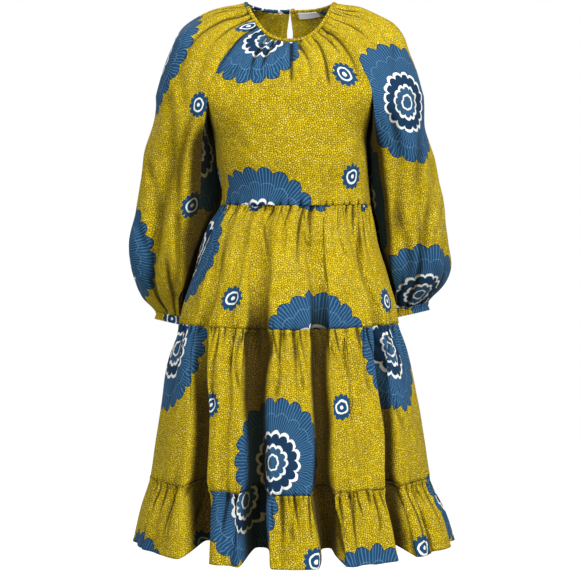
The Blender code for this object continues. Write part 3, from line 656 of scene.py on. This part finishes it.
    # Dye that is uneven over hand widths
    add(tree, "dye", "TexNoise", {"Vector": "uv", "Scale": 14.0, "Detail": 3.0})
    add(tree, "dye_tone", "MapRange", ("dye", 0.3, 0.7, 0.90, 1.06))
    vectors("dyed", "SCALE", {0: "printed", "Scale": "dye_tone"})
    # Painted shade: the cloth's colour is darkened and warmed deep in folds, creases and gathers, standing
    # in for light that has met the cloth many times and comes out of a fold dark and warm
    add(tree, "hollow", "Attribute", attribute_name="hollow", attribute_type="GEOMETRY")
    mix("crease_tone", "hollow.Fac", (1.0, 1.0, 1.0, 1.0), look.crease)
    vectors("cloth_colour", "MULTIPLY", ("dyed", "crease_tone"))
    # The weave is drawn at 1.2 mm, because its real 0.3 mm would not show
    vectors("threads", "SCALE", {0: "uv", "Scale": 2 * math.pi / 0.0012})
    add(tree, "thread_place", "SeparateXYZ", ("threads",))
    maths("warp", "SINE", "thread_place.X")
    maths("weft", "SINE", "thread_place.Y")
    maths("weave", "MULTIPLY", "warp", "weft")
    add(tree, "crumple", "TexNoise", {"Vector": "uv", "Scale": 70.0, "Detail": 4.0, "Roughness": 0.6})
    maths("surface", "MULTIPLY_ADD", "weave", 0.03, "crumple")
    add(tree, "relief", "Bump", {"Strength": 0.35, "Distance": 0.0016, "Height": "surface"})
    into_shader(tree, "cloth_colour", "relief")
    return made


def fine_grained(name, roughness, dark, light, grain, **constants):
    """A small finish whose tone varies by a fine grain of a real size."""
    made = new_material(name, roughness, **constants)
    tree = made.node_tree
    add(tree, "place", "TexCoord")
    add(tree, "grain", "TexNoise", {"Vector": "place.Object", "Scale": 1 / grain, "Detail": 2.0})
    add(tree, "tone", "ValToRGB", ("grain",))
    ramp = tree.nodes["tone"].color_ramp
    ramp.elements[0].color, ramp.elements[1].color = linear(dark), linear(light)
    ramp.elements[0].position, ramp.elements[1].position = 0.35, 0.65
    add(tree, "relief", "Bump", {"Strength": 0.3, "Distance": 0.0003, "Height": "grain"})
    into_shader(tree, "tone", "relief")
    return made


def finish(name):
    """The dress's material of that name, made when it is first needed."""
    if name in bpy.data.materials:
        return bpy.data.materials[name]
    if name == "printed_cotton_lawn":
        return printed_cotton(bpy.context.scene.dress_print)
    if name == "woven_satin":  # woven satin: smooth, with a soft streak of light
        return fine_grained(name, 0.38, "#D9DBDA", "#F1F2F0", 0.0006, Sheen_Weight=0.2)
    if name == "moulded_resin":  # moulded polyester resin: dark and softly glossy
        return fine_grained(name, 0.28, "#2A2410", "#3B3216", 0.0010, Coat_Weight=0.3)
    return fine_grained(name, 0.75, "#8A7618", "#B59C26", 0.0004, Sheen_Weight=0.2)  # spun thread


def sheet(name, grids, material="printed_cotton_lawn", thickness=None):
    """A sheet of cloth from grids of points, their flat places and their painted shade, joined and given its
    thickness.
    """
    bm = bmesh.new()
    layer = bm.loops.layers.uv.new("flat_cut")
    hollow = bm.verts.layers.float.new("hollow")
    for points, flat, depth in grids:
        rows, columns = points.shape[:2]
        made = bmesh.ops.create_grid(bm, x_segments=columns - 1, y_segments=rows - 1, size=1.0)["verts"]
        place = {}
        for vert, point, where, deep in zip(made, points.reshape(-1, 3), flat.reshape(-1, 2), depth.ravel()):
            vert.co = Vector(point)
            # Painted shade: each point keeps its share of darkening for the material's colour
            vert[hollow] = float(deep)
            place[vert] = where
        for face in {f for vert in made for f in vert.link_faces}:
            for loop in face.loops:
                loop[layer].uv = place[loop.vert]
    bmesh.ops.remove_doubles(bm, verts=bm.verts[:], dist=1e-6)
    bmesh.ops.recalc_face_normals(bm, faces=bm.faces[:])
    bm.normal_update()
    middle = sum((v.co for v in bm.verts), Vector()) / len(bm.verts)
    facing = sum(f.normal.dot(f.calc_center_median() - middle) * f.calc_area() for f in bm.faces)
    if facing < 0:
        bmesh.ops.reverse_faces(bm, faces=bm.faces[:])
    piece = keep(bm, name, material)
    thickness = thickness or bpy.context.scene.dress_cloth.thickness
    wall = piece.modifiers.new("cloth_wall", "SOLIDIFY")
    wall.thickness, wall.offset, wall.use_even_offset = thickness, -1.0, False
    return piece


def keep(bm, name, material):
    """Makes the finished mesh an object that rides on the dress."""
    mesh = bpy.data.meshes.new(name)
    bm.to_mesh(mesh)
    bm.free()
    mesh.shade_smooth()
    piece = bpy.data.objects.new(name, mesh)
    mesh.materials.append(finish(material))
    bpy.context.scene.collection.objects.link(piece)
    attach(piece, "root")
    return piece


def flat_map(points, across, reference, shift):
    """Flat places of a grid: across as given, down by each column's own length."""
    down = from_top(points)
    down = down - down[reference]
    across = np.broadcast_to(across, down.shape)
    return np.stack([across + shift[0], shift[1] - down], axis=2)


def yoke_grid():
    """The rings over the shoulders, gathered into the neck, with the directions out of them."""
    levels = NECK_TO_UNDERARM * np.linspace(0.0, 1.0, YOKE_ROWS) ** 1.25
    rows = np.array([yoke_row(level) for level in levels])
    out = grid_directions(rows, closed=True)
    length = along_row(closed(rows[:1])[0])[-1]
    along = along_row(rows[0])[None, :]
    below = from_top(rows)
    cloth = bpy.context.scene.dress_cloth
    table = np.concatenate([
        gathers(11, length, 0.0095, cloth.neck_gather, 0.0023, 0.045),
        gathers(12, length, 0.017, cloth.neck_gather * 1.5, 0.0032, 0.095),
    ])
    fade = smoothstep((below[-1] - below) / 0.03)
    push = valleys(along, below, length, table) * fade
    # At the back the gathers stay shallower than the room that the label has inside them
    behind = -BACK_GATHER * np.tanh(-push / BACK_GATHER)
    return levels, rows, out, np.where(rows[:, :, 1] > 0.0, behind, push)


def both_creases(points, out, front=FRONT_CREASES, back=BACK_CREASES):
    """The creases of the cloth, front and back."""
    return creases(points, -out[:, :, 1], front) + creases(points, out[:, :, 1], back)


def seam_gathers(drop):
    """The gathers of the tier that hangs from a seam, and the seam's length."""
    length = along_row(body_ring(drop))[-1]
    seed = SEAM_SEEDS[drop]
    deep = bpy.context.scene.dress_cloth.tier_gather * (0.75 if drop == WAIST else 1.0)
    return length, np.concatenate([
        gathers(seed, length, 0.0098, deep * 0.95, 0.0025, 0.026),
        gathers(seed + 1, length, 0.020, deep * 1.25, 0.0038, 0.062),
        gathers(seed + 2, length, 0.042, deep * 1.6, 0.0075, 0.150),
    ])


class DRESS_OT_bodice(bpy.types.Operator):
    """Makes the front and back bodice, gathered into the neck"""
    bl_idname = "dress.bodice"
    bl_label = "Bodice"

    def execute(self, context):
        levels, yoke, yoke_out, neck = yoke_grid()
        drops = np.linspace(UNDERARM, WAIST, BODICE_ROWS)
        tube = np.array([bodice_row(drop) for drop in drops])
        out = np.array([outward(row) for row in tube])
        out[0] = out[1]
        ring = SIDE_COLUMNS + FRONT_COLUMNS
        width = along_row(closed(tube[:1])[0])
        length, table = seam_gathers(WAIST)
        share = along_row(closed(tube[-1:])[0])
        seam_wave = valleys(share[:-1] * length / share[-1], np.zeros(1), length, table)
        above = (drops[-1] - drops)[:, None]
        blend = smoothstep((drops - UNDERARM) / 0.03)[:, None]
        broad, fine = both_creases(tube, out), seam_wave * np.exp(-above / 0.007)
        yoke_broad = both_creases(yoke, yoke_out)
        push, yoke_push = broad + fine, yoke_broad + neck
        # Painted shade in the creases and gathers
        dark, yoke_dark = shadow(broad, fine), shadow(yoke_broad, neck)
        # Less painted shade on the back's inner face, which shows through the neck, lit by the cloth round
        # it
        yoke_dark = yoke_dark * np.where(yoke[:, :, 1] > 0.02, 0.2, 1.0)
        push += unevenness(tube, *WAVES) + groove(above)
        yoke_push += unevenness(yoke, *WAVES)
        offsets = {"back": SIDE_COLUMNS, "front": ring + SIDE_COLUMNS}
        # Both grids share the underarm row, so both use the yoke's places there
        for side, (first, last) in {"back": (1, 2), "front": (3, 4)}.items():
            picks = np.arange(CORNERS[first], CORNERS[last] + 1) % yoke.shape[1]
            columns = np.arange(offsets[side], offsets[side] + FRONT_COLUMNS + 1) % tube.shape[1]
            yoke_push[:, picks] += groove(from_ends(FRONT_COLUMNS) * 0.0016)
            top = (yoke[-1] + yoke_out[-1] * yoke_push[-1][:, None])[picks]
            here = (tube[0] + out[0] * push[0][:, None])[columns]
            tube[:, columns] += (top - here)[None] * (1 - blend)[:, :, None]
        made = tube + out * push[:, :, None]
        made[:, :, 2] += 0.30 * seam_wave * np.exp(-above / 0.010)
        raised = yoke + yoke_out * yoke_push[:, :, None]

        def part(first, last, shift):
            picks = np.arange(first, last + 1)
            wraps = picks // tube.shape[1]
            u = width[picks % tube.shape[1]] + wraps * width[-1]
            picks = picks % tube.shape[1]
            return made[:, picks], flat_map(tube[:, picks], u, 0, shift), dark[:, picks]

        right_seam, left_seam = SIDE_COLUMNS // 2, ring + SIDE_COLUMNS // 2
        shift = (0.155, 0.06)
        picks = np.arange(CORNERS[3], CORNERS[4] + 1) % yoke.shape[1]
        u = width[np.arange(offsets["front"], offsets["front"] + FRONT_COLUMNS + 1)]
        front = sheet("front_bodice_cotton", (
            part(left_seam, 2 * ring + right_seam, shift),
            (raised[:, picks], flat_map(yoke[:, picks], u, -1, shift), yoke_dark[:, picks])))
        middle = SIDE_COLUMNS + FRONT_COLUMNS // 2
        cap_middle = CORNERS[1] + FRONT_COLUMNS // 2
        grids = [part(right_seam, left_seam, shift)]
        slit = np.interp(levels, np.arange(len(SLIT)), SLIT)
        for first, last, side in ((CORNERS[1], cap_middle, 1), (cap_middle, CORNERS[2], -1)):
            half = raised[:, first:last + 1].copy()
            count = np.arange(last - first + 1)
            near = np.exp(-(count[::-1] if side > 0 else count) / 6.0)
            half[:, :, 0] += side * slit[:, None] * near[None, :]
            u = width[offsets["back"] + (first - CORNERS[1]) + count]
            grids.append((half, flat_map(yoke[:, first:last + 1], u, -1, shift),
                          yoke_dark[:, first:last + 1]))
        back = sheet("back_bodice_cotton", grids)
        for piece, node in ((front, "front_bodice"), (back, "back_bodice")):
            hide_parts(node)
        return {"FINISHED"}


class DRESS_OT_sleeves(bpy.types.Operator):
    """Makes the two puff sleeves, gathered at the neck and into the cuffs"""
    bl_idname = "dress.sleeves"
    bl_label = "Sleeves"

    def execute(self, context):
        _, yoke, yoke_out, neck = yoke_grid()
        broad = both_creases(yoke, yoke_out)
        yoke_push, yoke_dark = neck + broad + unevenness(yoke, *WAVES), shadow(broad, neck)
        cloth = context.scene.dress_cloth
        for name, table, side, first, last, seed, shift in (
                ("sleeve_right", SLEEVE_RIGHT, 1, CORNERS[0], CORNERS[1], 31, (0.10, 0.20)),
                ("sleeve_left", SLEEVE_LEFT, -1, CORNERS[2], CORNERS[3], 41, (0.02, 0.30))):
            bottom = table.columns["drop"][-1]
            t = np.linspace(0.0, 1.0, SLEEVE_ROWS)
            drops = UNDERARM + (bottom - UNDERARM) * (0.65 * t + 0.35 * np.sin(t * math.pi / 2))
            drops[-1] = bottom
            tube = sleeve_tube(table, side, drops)
            out = side * np.array([outward(row) for row in tube])
            share = along_row(closed(tube[-1:])[0])
            length = share[-1]
            above = from_top(tube[::-1])[::-1]
            at_cuff = np.concatenate([
                gathers(seed, length, 0.0095, cloth.cuff_gather * 0.7, 0.0023, 0.026),
                gathers(seed + 1, length, 0.017, cloth.cuff_gather * 1.2, 0.0034, 0.060),
                gathers(seed + 2, length, 0.040, cloth.cuff_gather * 1.6, 0.0065, 0.170),
            ])
            blend = smoothstep((drops - UNDERARM) / 0.03)[:, None]
            broad, fine = both_creases(tube, out), valleys(share[None, :-1], above, length, at_cuff)
            push = broad + fine
            # Painted shade in creases, gathers and between sleeve and body
            dark = np.maximum(shadow(broad, fine), facing_body(out, drops, side))
            push += unevenness(tube, *WAVES) + unevenness(tube, seed + 5, 0.11, 0.0016) * blend
            order = slice(None) if side > 0 else slice(None, None, -1)
            picks = np.arange(first, last + 1)[order]
            cap_push = yoke_push[:, picks] + groove(from_ends(CAP_COLUMNS) * 0.0018)
            cap = yoke[:, picks] + yoke_out[:, picks] * cap_push[:, :, None]
            made = tube + out * push[:, :, None]
            made[:, :, 2] += cuff_slant(made, side) * np.exp(-above / 0.035)
            made[:, :CAP_COLUMNS + 1] += ((cap[-1] - made[0, :CAP_COLUMNS + 1])[None]
                                          * (1 - blend)[:, :, None])
            cap[-1] = made[0, :CAP_COLUMNS + 1]
            wide = along_row(closed(tube[WIDEST_ROW:WIDEST_ROW + 1])[0]) * side
            raised = yoke[:, picks]
            grids = ((closed(made), flat_map(closed(tube), wide, 0, shift), closed(dark)),
                     (cap, flat_map(raised, wide[:CAP_COLUMNS + 1], -1, shift), yoke_dark[:, picks]))
            piece = sheet(name + "_cotton", grids)
            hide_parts(name)
        return {"FINISHED"}


class DRESS_OT_cuffs(bpy.types.Operator):
    """Makes the gathered cuff bands with their small headings"""
    bl_idname = "dress.cuffs"
    bl_label = "Cuffs"

    def execute(self, context):
        for name, table, side, seed in (("cuff_right", SLEEVE_RIGHT, 1, 51),
                                        ("cuff_left", SLEEVE_LEFT, -1, 61)):
            top = float(table.columns["drop"][-1])
            above = sleeve_tube(table, side, np.array([top - 0.02, top]))[-1]
            middle = above.mean(axis=0)
            share = along_row(closed(above[None])[0])
            length = share[-1]
            ruffle = gathers(seed, length, 0.0090, 0.0016, 0.0019, 0.030)
            rows, waves = [], []
            for lower in np.linspace(0.0, 0.014, 18):
                wide = np.interp(lower, (0.0, 0.006, 0.014), (0.995, 0.975, 1.035))
                ring = middle + (above - middle) * wide
                wave = valleys(share[:-1], np.array([0.004 + lower]), length, ruffle)
                pinch = groove(np.array([lower - 0.0065]), 0.0008, 0.0016)
                ring = ring + side * outward(ring) * (wave + 0.0008 + pinch)[:, None]
                ring[:, 2] = above[:, 2] - lower - 0.0003 + cuff_slant(above, side)
                rows.append(push_off(ring, skirt_row(top + lower, 720), BESIDE_SKIRT))
                waves.append(wave + pinch)
            rows, waves = np.array(rows), np.array(waves)
            flat = flat_map(closed(rows), side * share * 1.3, 0, (0.06, 0.10))
            # Painted shade in the ruffle's gathers
            piece = sheet(name + "_cotton", ((closed(rows), flat, shaded(closed(waves), 1, 0.0005)),))
            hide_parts(name)
        return {"FINISHED"}


class DRESS_OT_tiers(bpy.types.Operator):
    """Makes the three tiers of the skirt, each gathered into the one above"""
    bl_idname = "dress.tiers"
    bl_label = "Skirt tiers"

    def execute(self, context):
        cloth = context.scene.dress_cloth
        settings = (
            ("tier_1", WAIST, SEAM_2, TIER_1_COLUMNS, TIER_ROWS[0], 1.20, (0.13, 0.085)),
            ("tier_2", SEAM_2, SEAM_3, TIER_COLUMNS, TIER_ROWS[1], 1.86, (0.11, 0.23)),
            ("tier_3", SEAM_3, HEM, TIER_COLUMNS, TIER_ROWS[2], 2.26, (0.11, 0.02)),
        )
        for name, top, bottom, count, row_count, cut, shift in settings:
            t = np.linspace(0.0, 1.0, row_count)
            shares = 0.72 * t + 0.28 * t * t
            drops = top + (bottom - top) * shares
            folded = [folded_ring(drop, count, cloth.fold_closing) for drop in drops]
            rows, in_fold = (np.array(part) for part in zip(*folded))
            out = np.array([outward(skirt_row(drop, count)) for drop in drops])
            column = np.arange(count)
            length, table = seam_gathers(top)
            along = column[None, :] * length / count
            below = from_top(rows)
            broad = both_creases(rows, out, SKIRT_CREASES, SKIRT_CREASES)
            fine = valleys(along, below, length, table)
            push, dark = broad + fine, shadow(broad * 1.5, fine)
            waves = unevenness(rows, SEAM_SEEDS[top] + 7, 0.10, 0.0012)
            push += groove(below) + waves * smoothstep(below / 0.03)
            above = below[-1] - below
            if bottom == HEM:
                lift = 0.0
                slow = np.sin(2 * math.pi * column * 11 / count) * np.cos(2 * math.pi * column * 4 / count)
                push += 0.005 * (shares ** 2)[:, None] * slow + groove(above - 0.012, 0.0006, 0.0015)
            else:
                next_length, next_table = seam_gathers(bottom)
                wave = valleys(column * next_length / count, np.zeros(1), next_length, next_table)
                push += wave * np.exp(-above / 0.012) + groove(above)
                lift = 0.30 * wave * np.exp(-above / 0.010)
            made = rows + out * push[:, :, None]
            made[:, :, 2] += 0.30 * push * np.exp(-below / 0.010) + lift
            # Painted shade: the darker of the gathers' and creases' shade and the folds' shade
            deep = np.maximum(dark, in_fold)
            made, smooth, deep = closed(made), closed(rows), closed(deep)
            half = count // 2
            for label, part in (("back", slice(0, half + 1)), ("front", slice(half, None))):
                lengths = [along_row(row) for row in smooth[:, part]]
                across = np.array([at * (cut / 2 / at[-1]) for at in lengths])
                if name == "tier_1":
                    across = across - cut / 4
                flat = flat_map(smooth[:, part], across, 0, shift)
                piece = sheet(f"{name}_{label}_cotton", ((made[:, part], flat, deep[:, part]),))
                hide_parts(f"{name}_{label}")
        return {"FINISHED"}


def neck_edge(count):
    """The smooth neck edge from the centre back round to it, the way up and the way out."""
    edge = yoke_arc(0, 90.0, 450.0, count)
    below = yoke_arc(0.25, 90.0, 450.0, count)
    up = edge - below
    up /= np.linalg.norm(up, axis=1)[:, None]
    out = np.cross(np.gradient(edge, axis=0), up)
    out /= np.linalg.norm(out, axis=1)[:, None]
    return edge, up, out


class DRESS_OT_binding(bpy.types.Operator):
    """Makes the narrow binding over the neck edge"""
    bl_idname = "dress.binding"
    bl_label = "Neck binding"

    def execute(self, context):
        height, thick, count = 0.0062, 0.0034, 360
        edge, up, out = neck_edge(count)
        edge[0, 0] -= 0.0006
        edge[-1, 0] += 0.0006
        along = along_row(edge)
        angle = np.linspace(-math.pi / 2 + 0.25, 1.5 * math.pi - 0.25, 21)
        x, y = superellipse(angle, thick / 2, height / 2, height / 2, 3.2)
        tucks = 0.6 * np.sin(along * 2 * math.pi / 0.0068) + 0.4 * np.sin(along * 2 * math.pi / 0.0047 + 1)
        pucker = 0.00045 * tucks
        fuller = 1 + pucker / (thick / 2)
        rows = np.array([
            edge + up * (SEAM_GAP + height / 2 + b) + out * (0.0010 - thick / 2 + a * fuller)[:, None]
            for a, b in zip(x, y)])[::-1]
        girth = along_row(rows[:, 0])
        flat = np.stack([np.broadcast_to(along, rows.shape[:2]) + 0.14,
                         np.broadcast_to(girth[:, None] + 0.20, rows.shape[:2])], axis=2)
        # Painted shade in the binding's tucks
        dark = np.broadcast_to(0.65 * smoothstep(-1.4 * tucks), rows.shape[:2])
        piece = sheet("neck_binding_cotton", ((rows, flat, dark),), thickness=0.0006)
        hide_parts("neck_binding")
        return {"FINISHED"}


class DRESS_OT_label(bpy.types.Operator):
    """Makes the bare woven label inside the back neck"""
    bl_idname = "dress.label"
    bl_label = "Label"

    def execute(self, context):
        edge, up, out = (line[650:701:2] for line in neck_edge(720))
        # It hangs inside the wall of the back and its shallow gathers, with a slight bow
        inside = 0.0044 + 0.0004 * np.sin(np.linspace(0, math.pi, len(edge)))
        face = edge - out * inside[:, None]
        rows = np.array([face - up * lower for lower in np.linspace(-0.0035, 0.0110, 12)])
        flat = flat_map(rows, along_row(rows[0]), 0, (0, 0))
        piece = sheet("label_woven_satin", ((rows, flat, np.zeros(flat.shape[:2])),), "woven_satin", 0.0008)
        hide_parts("label")
        return {"FINISHED"}


class DRESS_OT_closure(bpy.types.Operator):
    """Makes the small dished button and its thread loop at the centre back"""
    bl_idname = "dress.closure"
    bl_label = "Button and loop"

    def execute(self, context):
        edge, up, out = neck_edge(60)
        radius, thick, wire, tail = 0.0036, 0.0024, 0.0005, 0.0075
        face = edge[-1] + up[-1] * 0.0034 + out[-1] * (0.0010 + 0.0006 + SEAM_GAP)
        middle = Vector(face + out[-1] * thick / 2) + Vector((0.0052, 0.0, 0.0))
        turn = Vector(out[-1]).to_track_quat("Z", "Y").to_matrix()
        bm = bmesh.new()
        # Half of its section, as shares of its radius and of half its height
        profile = ((0.0, -1.0), (0.80, -1.0), (0.97, -0.55), (1.0, 0.0), (0.97, 0.6), (0.88, 0.95),
                   (0.76, 0.98), (0.66, 0.55), (0.35, 0.38), (0.0, 0.36))
        verts = [bm.verts.new((r * radius, 0.0, h * thick / 2)) for r, h in profile]
        edges = [bm.edges.new(pair) for pair in zip(verts, verts[1:])]
        bmesh.ops.spin(bm, geom=verts + edges, axis=(0, 0, 1), cent=(0, 0, 0), steps=40,
                       angle=2 * math.pi, use_merge=True)
        bmesh.ops.remove_doubles(bm, verts=bm.verts[:], dist=1e-6)
        bmesh.ops.recalc_face_normals(bm, faces=bm.faces[:])
        bmesh.ops.rotate(bm, verts=bm.verts[:], cent=(0, 0, 0), matrix=turn)
        bmesh.ops.translate(bm, verts=bm.verts[:], vec=middle)
        button = keep(bm, "back_button_resin", "moulded_resin")
        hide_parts("back_button")

        turns = np.linspace(math.radians(-140), math.radians(140), 40)
        reach = radius + wire + SEAM_GAP
        right, rise, front = Vector((1.0, 0.0, 0.0)), Vector(up[-1]), Vector(out[-1])
        points = [middle + right * reach * math.cos(a) + rise * reach * math.sin(a) for a in turns]
        path = [points[0] - right * tail * s for s in (1.0, 0.66, 0.33)] + points
        path += [points[-1] - right * tail * s for s in (0.33, 0.66, 1.0)]
        curve = bpy.data.curves.new("loop", "CURVE")
        curve.dimensions = "3D"
        curve.bevel_depth = wire * 0.62
        curve.bevel_resolution = 3
        curve.use_fill_caps = True
        steps = even(np.array(path), 160)
        # Two strands twisted round each other
        for strand in (0.0, math.pi):
            spline = curve.splines.new("POLY")
            spline.points.add(len(steps) - 1)
            centre = np.array(middle)
            for k, (point, place) in enumerate(zip(spline.points, steps)):
                away = (place - centre) / np.linalg.norm(place - centre)
                twist = strand + k * 0.55
                moved = place + (away * math.cos(twist) + np.array(front) * math.sin(twist)) * wire * 0.45
                point.co = (*moved, 1.0)
        made = bpy.data.objects.new("loop_thread_shape", curve)
        mesh = bpy.data.meshes.new_from_object(made)
        bpy.data.objects.remove(made)
        bm = bmesh.new()
        bm.from_mesh(mesh)
        bpy.data.meshes.remove(mesh)
        loop = keep(bm, "button_loop_thread", "spun_thread")
        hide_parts("button_loop")
        return {"FINISHED"}


class DRESS_OT_stage(bpy.types.Operator):
    """Makes the pale floor, the soft studio light and the camera"""
    bl_idname = "dress.stage"
    bl_label = "Stage"

    def execute(self, context):
        studio = context.scene.dress_studio
        bm = bmesh.new()
        bmesh.ops.create_circle(bm, cap_ends=True, segments=96, radius=9.0)
        bmesh.ops.translate(bm, verts=bm.verts[:], vec=(0, 0, -studio.floor_drop))
        mesh = bpy.data.meshes.new("floor")
        bm.to_mesh(mesh)
        bm.free()
        floor = bpy.data.objects.new("floor", mesh)
        # Pale paper: an even white ground that glows a little, with only a faint shadow
        mesh.materials.append(new_material(
            "pale_paper", 0.9, Base_Color=linear("#8E8E8C"), Emission_Color=(1.0, 1.0, 1.0, 1.0),
            Emission_Strength=0.93))
        context.scene.collection.objects.link(floor)
        floor.visible_diffuse = floor.visible_glossy = False

        world = bpy.data.worlds.new("studio")
        world.use_nodes = True
        tree = world.node_tree
        add(tree, "path", "LightPath")
        add(tree, "strength", "MapRange", ("path", 0.0, 1.0, studio.ambient, 1.0))
        background = tree.nodes["Background"]
        tree.links.new(output(tree, "strength"), background.inputs["Strength"])
        background.inputs["Color"].default_value = (1.0, 1.0, 1.0, 1.0)
        context.scene.world = world
        for name, place, size, power in (
                ("key", (2.3, -2.7, 1.7), 1.3, studio.key),
                ("fill", (-1.4, -3.3, 0.3), 1.8, studio.fill),
                ("top", (0.2, -0.9, 1.4), 0.9, studio.top),
                ("back_soft", (-1.2, 3.2, 1.6), 2.2, studio.back)):
            light = bpy.data.lights.new(name, "AREA")
            light.size, light.energy = size, power
            lamp = bpy.data.objects.new(name, light)
            lamp.location = place
            aim = Vector((0.0, 0.0, -0.45)) - Vector(place)
            lamp.rotation_euler = aim.to_track_quat("-Z", "Y").to_euler()
            context.scene.collection.objects.link(lamp)
        camera = bpy.data.cameras.new("camera")
        camera.sensor_width, camera.lens, camera.clip_end = 36.0, 131.0, 100.0
        view = bpy.data.objects.new("camera", camera)
        view.location = (0.0, -3.8, -0.513)
        view.rotation_euler = (math.pi / 2, 0.0, 0.0)
        context.scene.collection.objects.link(view)
        context.scene.camera = view
        context.scene.view_settings.view_transform = "Standard"
        return {"FINISHED"}


def number(name, description, default, unit="NONE"):
    return bpy.props.FloatProperty(name=name, description=description, default=default, unit=unit)


def colour(name, description, default):
    return bpy.props.FloatVectorProperty(
        name=name, description=description, default=default, subtype="COLOR", size=4)


class DressCloth(bpy.types.PropertyGroup):
    """Sizes of the cloth and its gathers"""
    thickness: number("Thickness", "Thickness of the cloth", 0.0009, "LENGTH")
    neck_gather: number("Neck gathers", "Depth of the gathers at the neck", 0.0038, "LENGTH")
    tier_gather: number("Tier gathers", "Depth of the gathers of the skirt", 0.0056, "LENGTH")
    cuff_gather: number("Cuff gathers", "Depth of the gathers above the cuffs", 0.0062, "LENGTH")
    fold_closing: number("Fold closing", "How far the skirt's folds close, as a part of their depth", 0.06)


class DressPrint(bpy.types.PropertyGroup):
    """Sizes and colours of the print"""
    repeat_across: number("Repeat across", "Distance between columns of large flowers", 0.36, "LENGTH")
    repeat_down: number("Repeat down", "Distance between large flowers in a column", 0.37, "LENGTH")
    flower: number("Large flower", "Width of a large flower", 0.225, "LENGTH")
    sprig: number("Small flower", "Width of a small flower", 0.046, "LENGTH")
    pebble: number("Pebble", "Width of a pebble of the ground", 0.0038, "LENGTH")
    # Painted shade: the tint that darkens the cloth's colour deep in its folds, creases and gathers
    crease: colour("Crease tone", "Tint of the cloth deep in its folds", (0.100, 0.082, 0.030, 1.0))
    mustard: colour("Mustard", "Ground colour", linear("#DDC41A"))
    ochre: colour("Ochre", "Darker pebbles", linear("#B99C12"))
    pale: colour("Pale dots", "Dots in some pebbles", linear("#F0E598"))
    net: colour("Net", "Lines between the pebbles", linear("#463B0C"))
    indigo: colour("Indigo", "Petals", linear("#194468"))
    navy: colour("Navy", "Outlines and inner petals", linear("#122F4C"))
    vein: colour("Vein", "Streaks in the petals", linear("#5E88A8"))
    cream: colour("Cream", "Petal outlines and hearts", linear("#ECEFEA"))


class DressStudio(bpy.types.PropertyGroup):
    """The stage and its light"""
    floor_drop: number("Floor", "How far the floor lies below the neck", 1.42, "LENGTH")
    ambient: number("Ambient", "Light from all round", 0.33)
    key: number("Key", "Main light in watts", 142.0)
    fill: number("Fill", "Second light in watts", 62.0)
    top: number("Top", "Light above in watts", 8.0)
    back: number("Back", "Light behind in watts", 60.0)


class DRESS_PT_pieces(bpy.types.Panel):
    """Lists the dress's pieces and its sizes"""
    bl_idname = "DRESS_PT_pieces"
    bl_label = "Puff sleeve dress"
    bl_space_type = "VIEW_3D"
    bl_region_type = "UI"
    bl_category = "Dress"

    def draw(self, context):
        for name in PIECES:
            self.layout.operator("dress." + name)
        for group in (context.scene.dress_cloth, context.scene.dress_print, context.scene.dress_studio):
            for key in type(group).__annotations__:
                self.layout.prop(group, key)


PIECES = ("bodice", "sleeves", "cuffs", "tiers", "binding", "label", "closure", "stage")
CLASSES = (DressCloth, DressPrint, DressStudio, DRESS_OT_bodice, DRESS_OT_sleeves, DRESS_OT_cuffs,
           DRESS_OT_tiers, DRESS_OT_binding, DRESS_OT_label, DRESS_OT_closure, DRESS_OT_stage,
           DRESS_PT_pieces)


def register():
    for kind in CLASSES:
        bpy.utils.register_class(kind)
    bpy.types.Scene.dress_cloth = bpy.props.PointerProperty(type=DressCloth)
    bpy.types.Scene.dress_print = bpy.props.PointerProperty(type=DressPrint)
    bpy.types.Scene.dress_studio = bpy.props.PointerProperty(type=DressStudio)


def unregister():
    for name in ("dress_cloth", "dress_print", "dress_studio"):
        delattr(bpy.types.Scene, name)
    for kind in reversed(CLASSES):
        bpy.utils.unregister_class(kind)


def main():
    register()
    for name in PIECES:
        getattr(bpy.ops.dress, name)()
    bpy.context.view_layer.update()


if __name__ == "__main__":
    main()
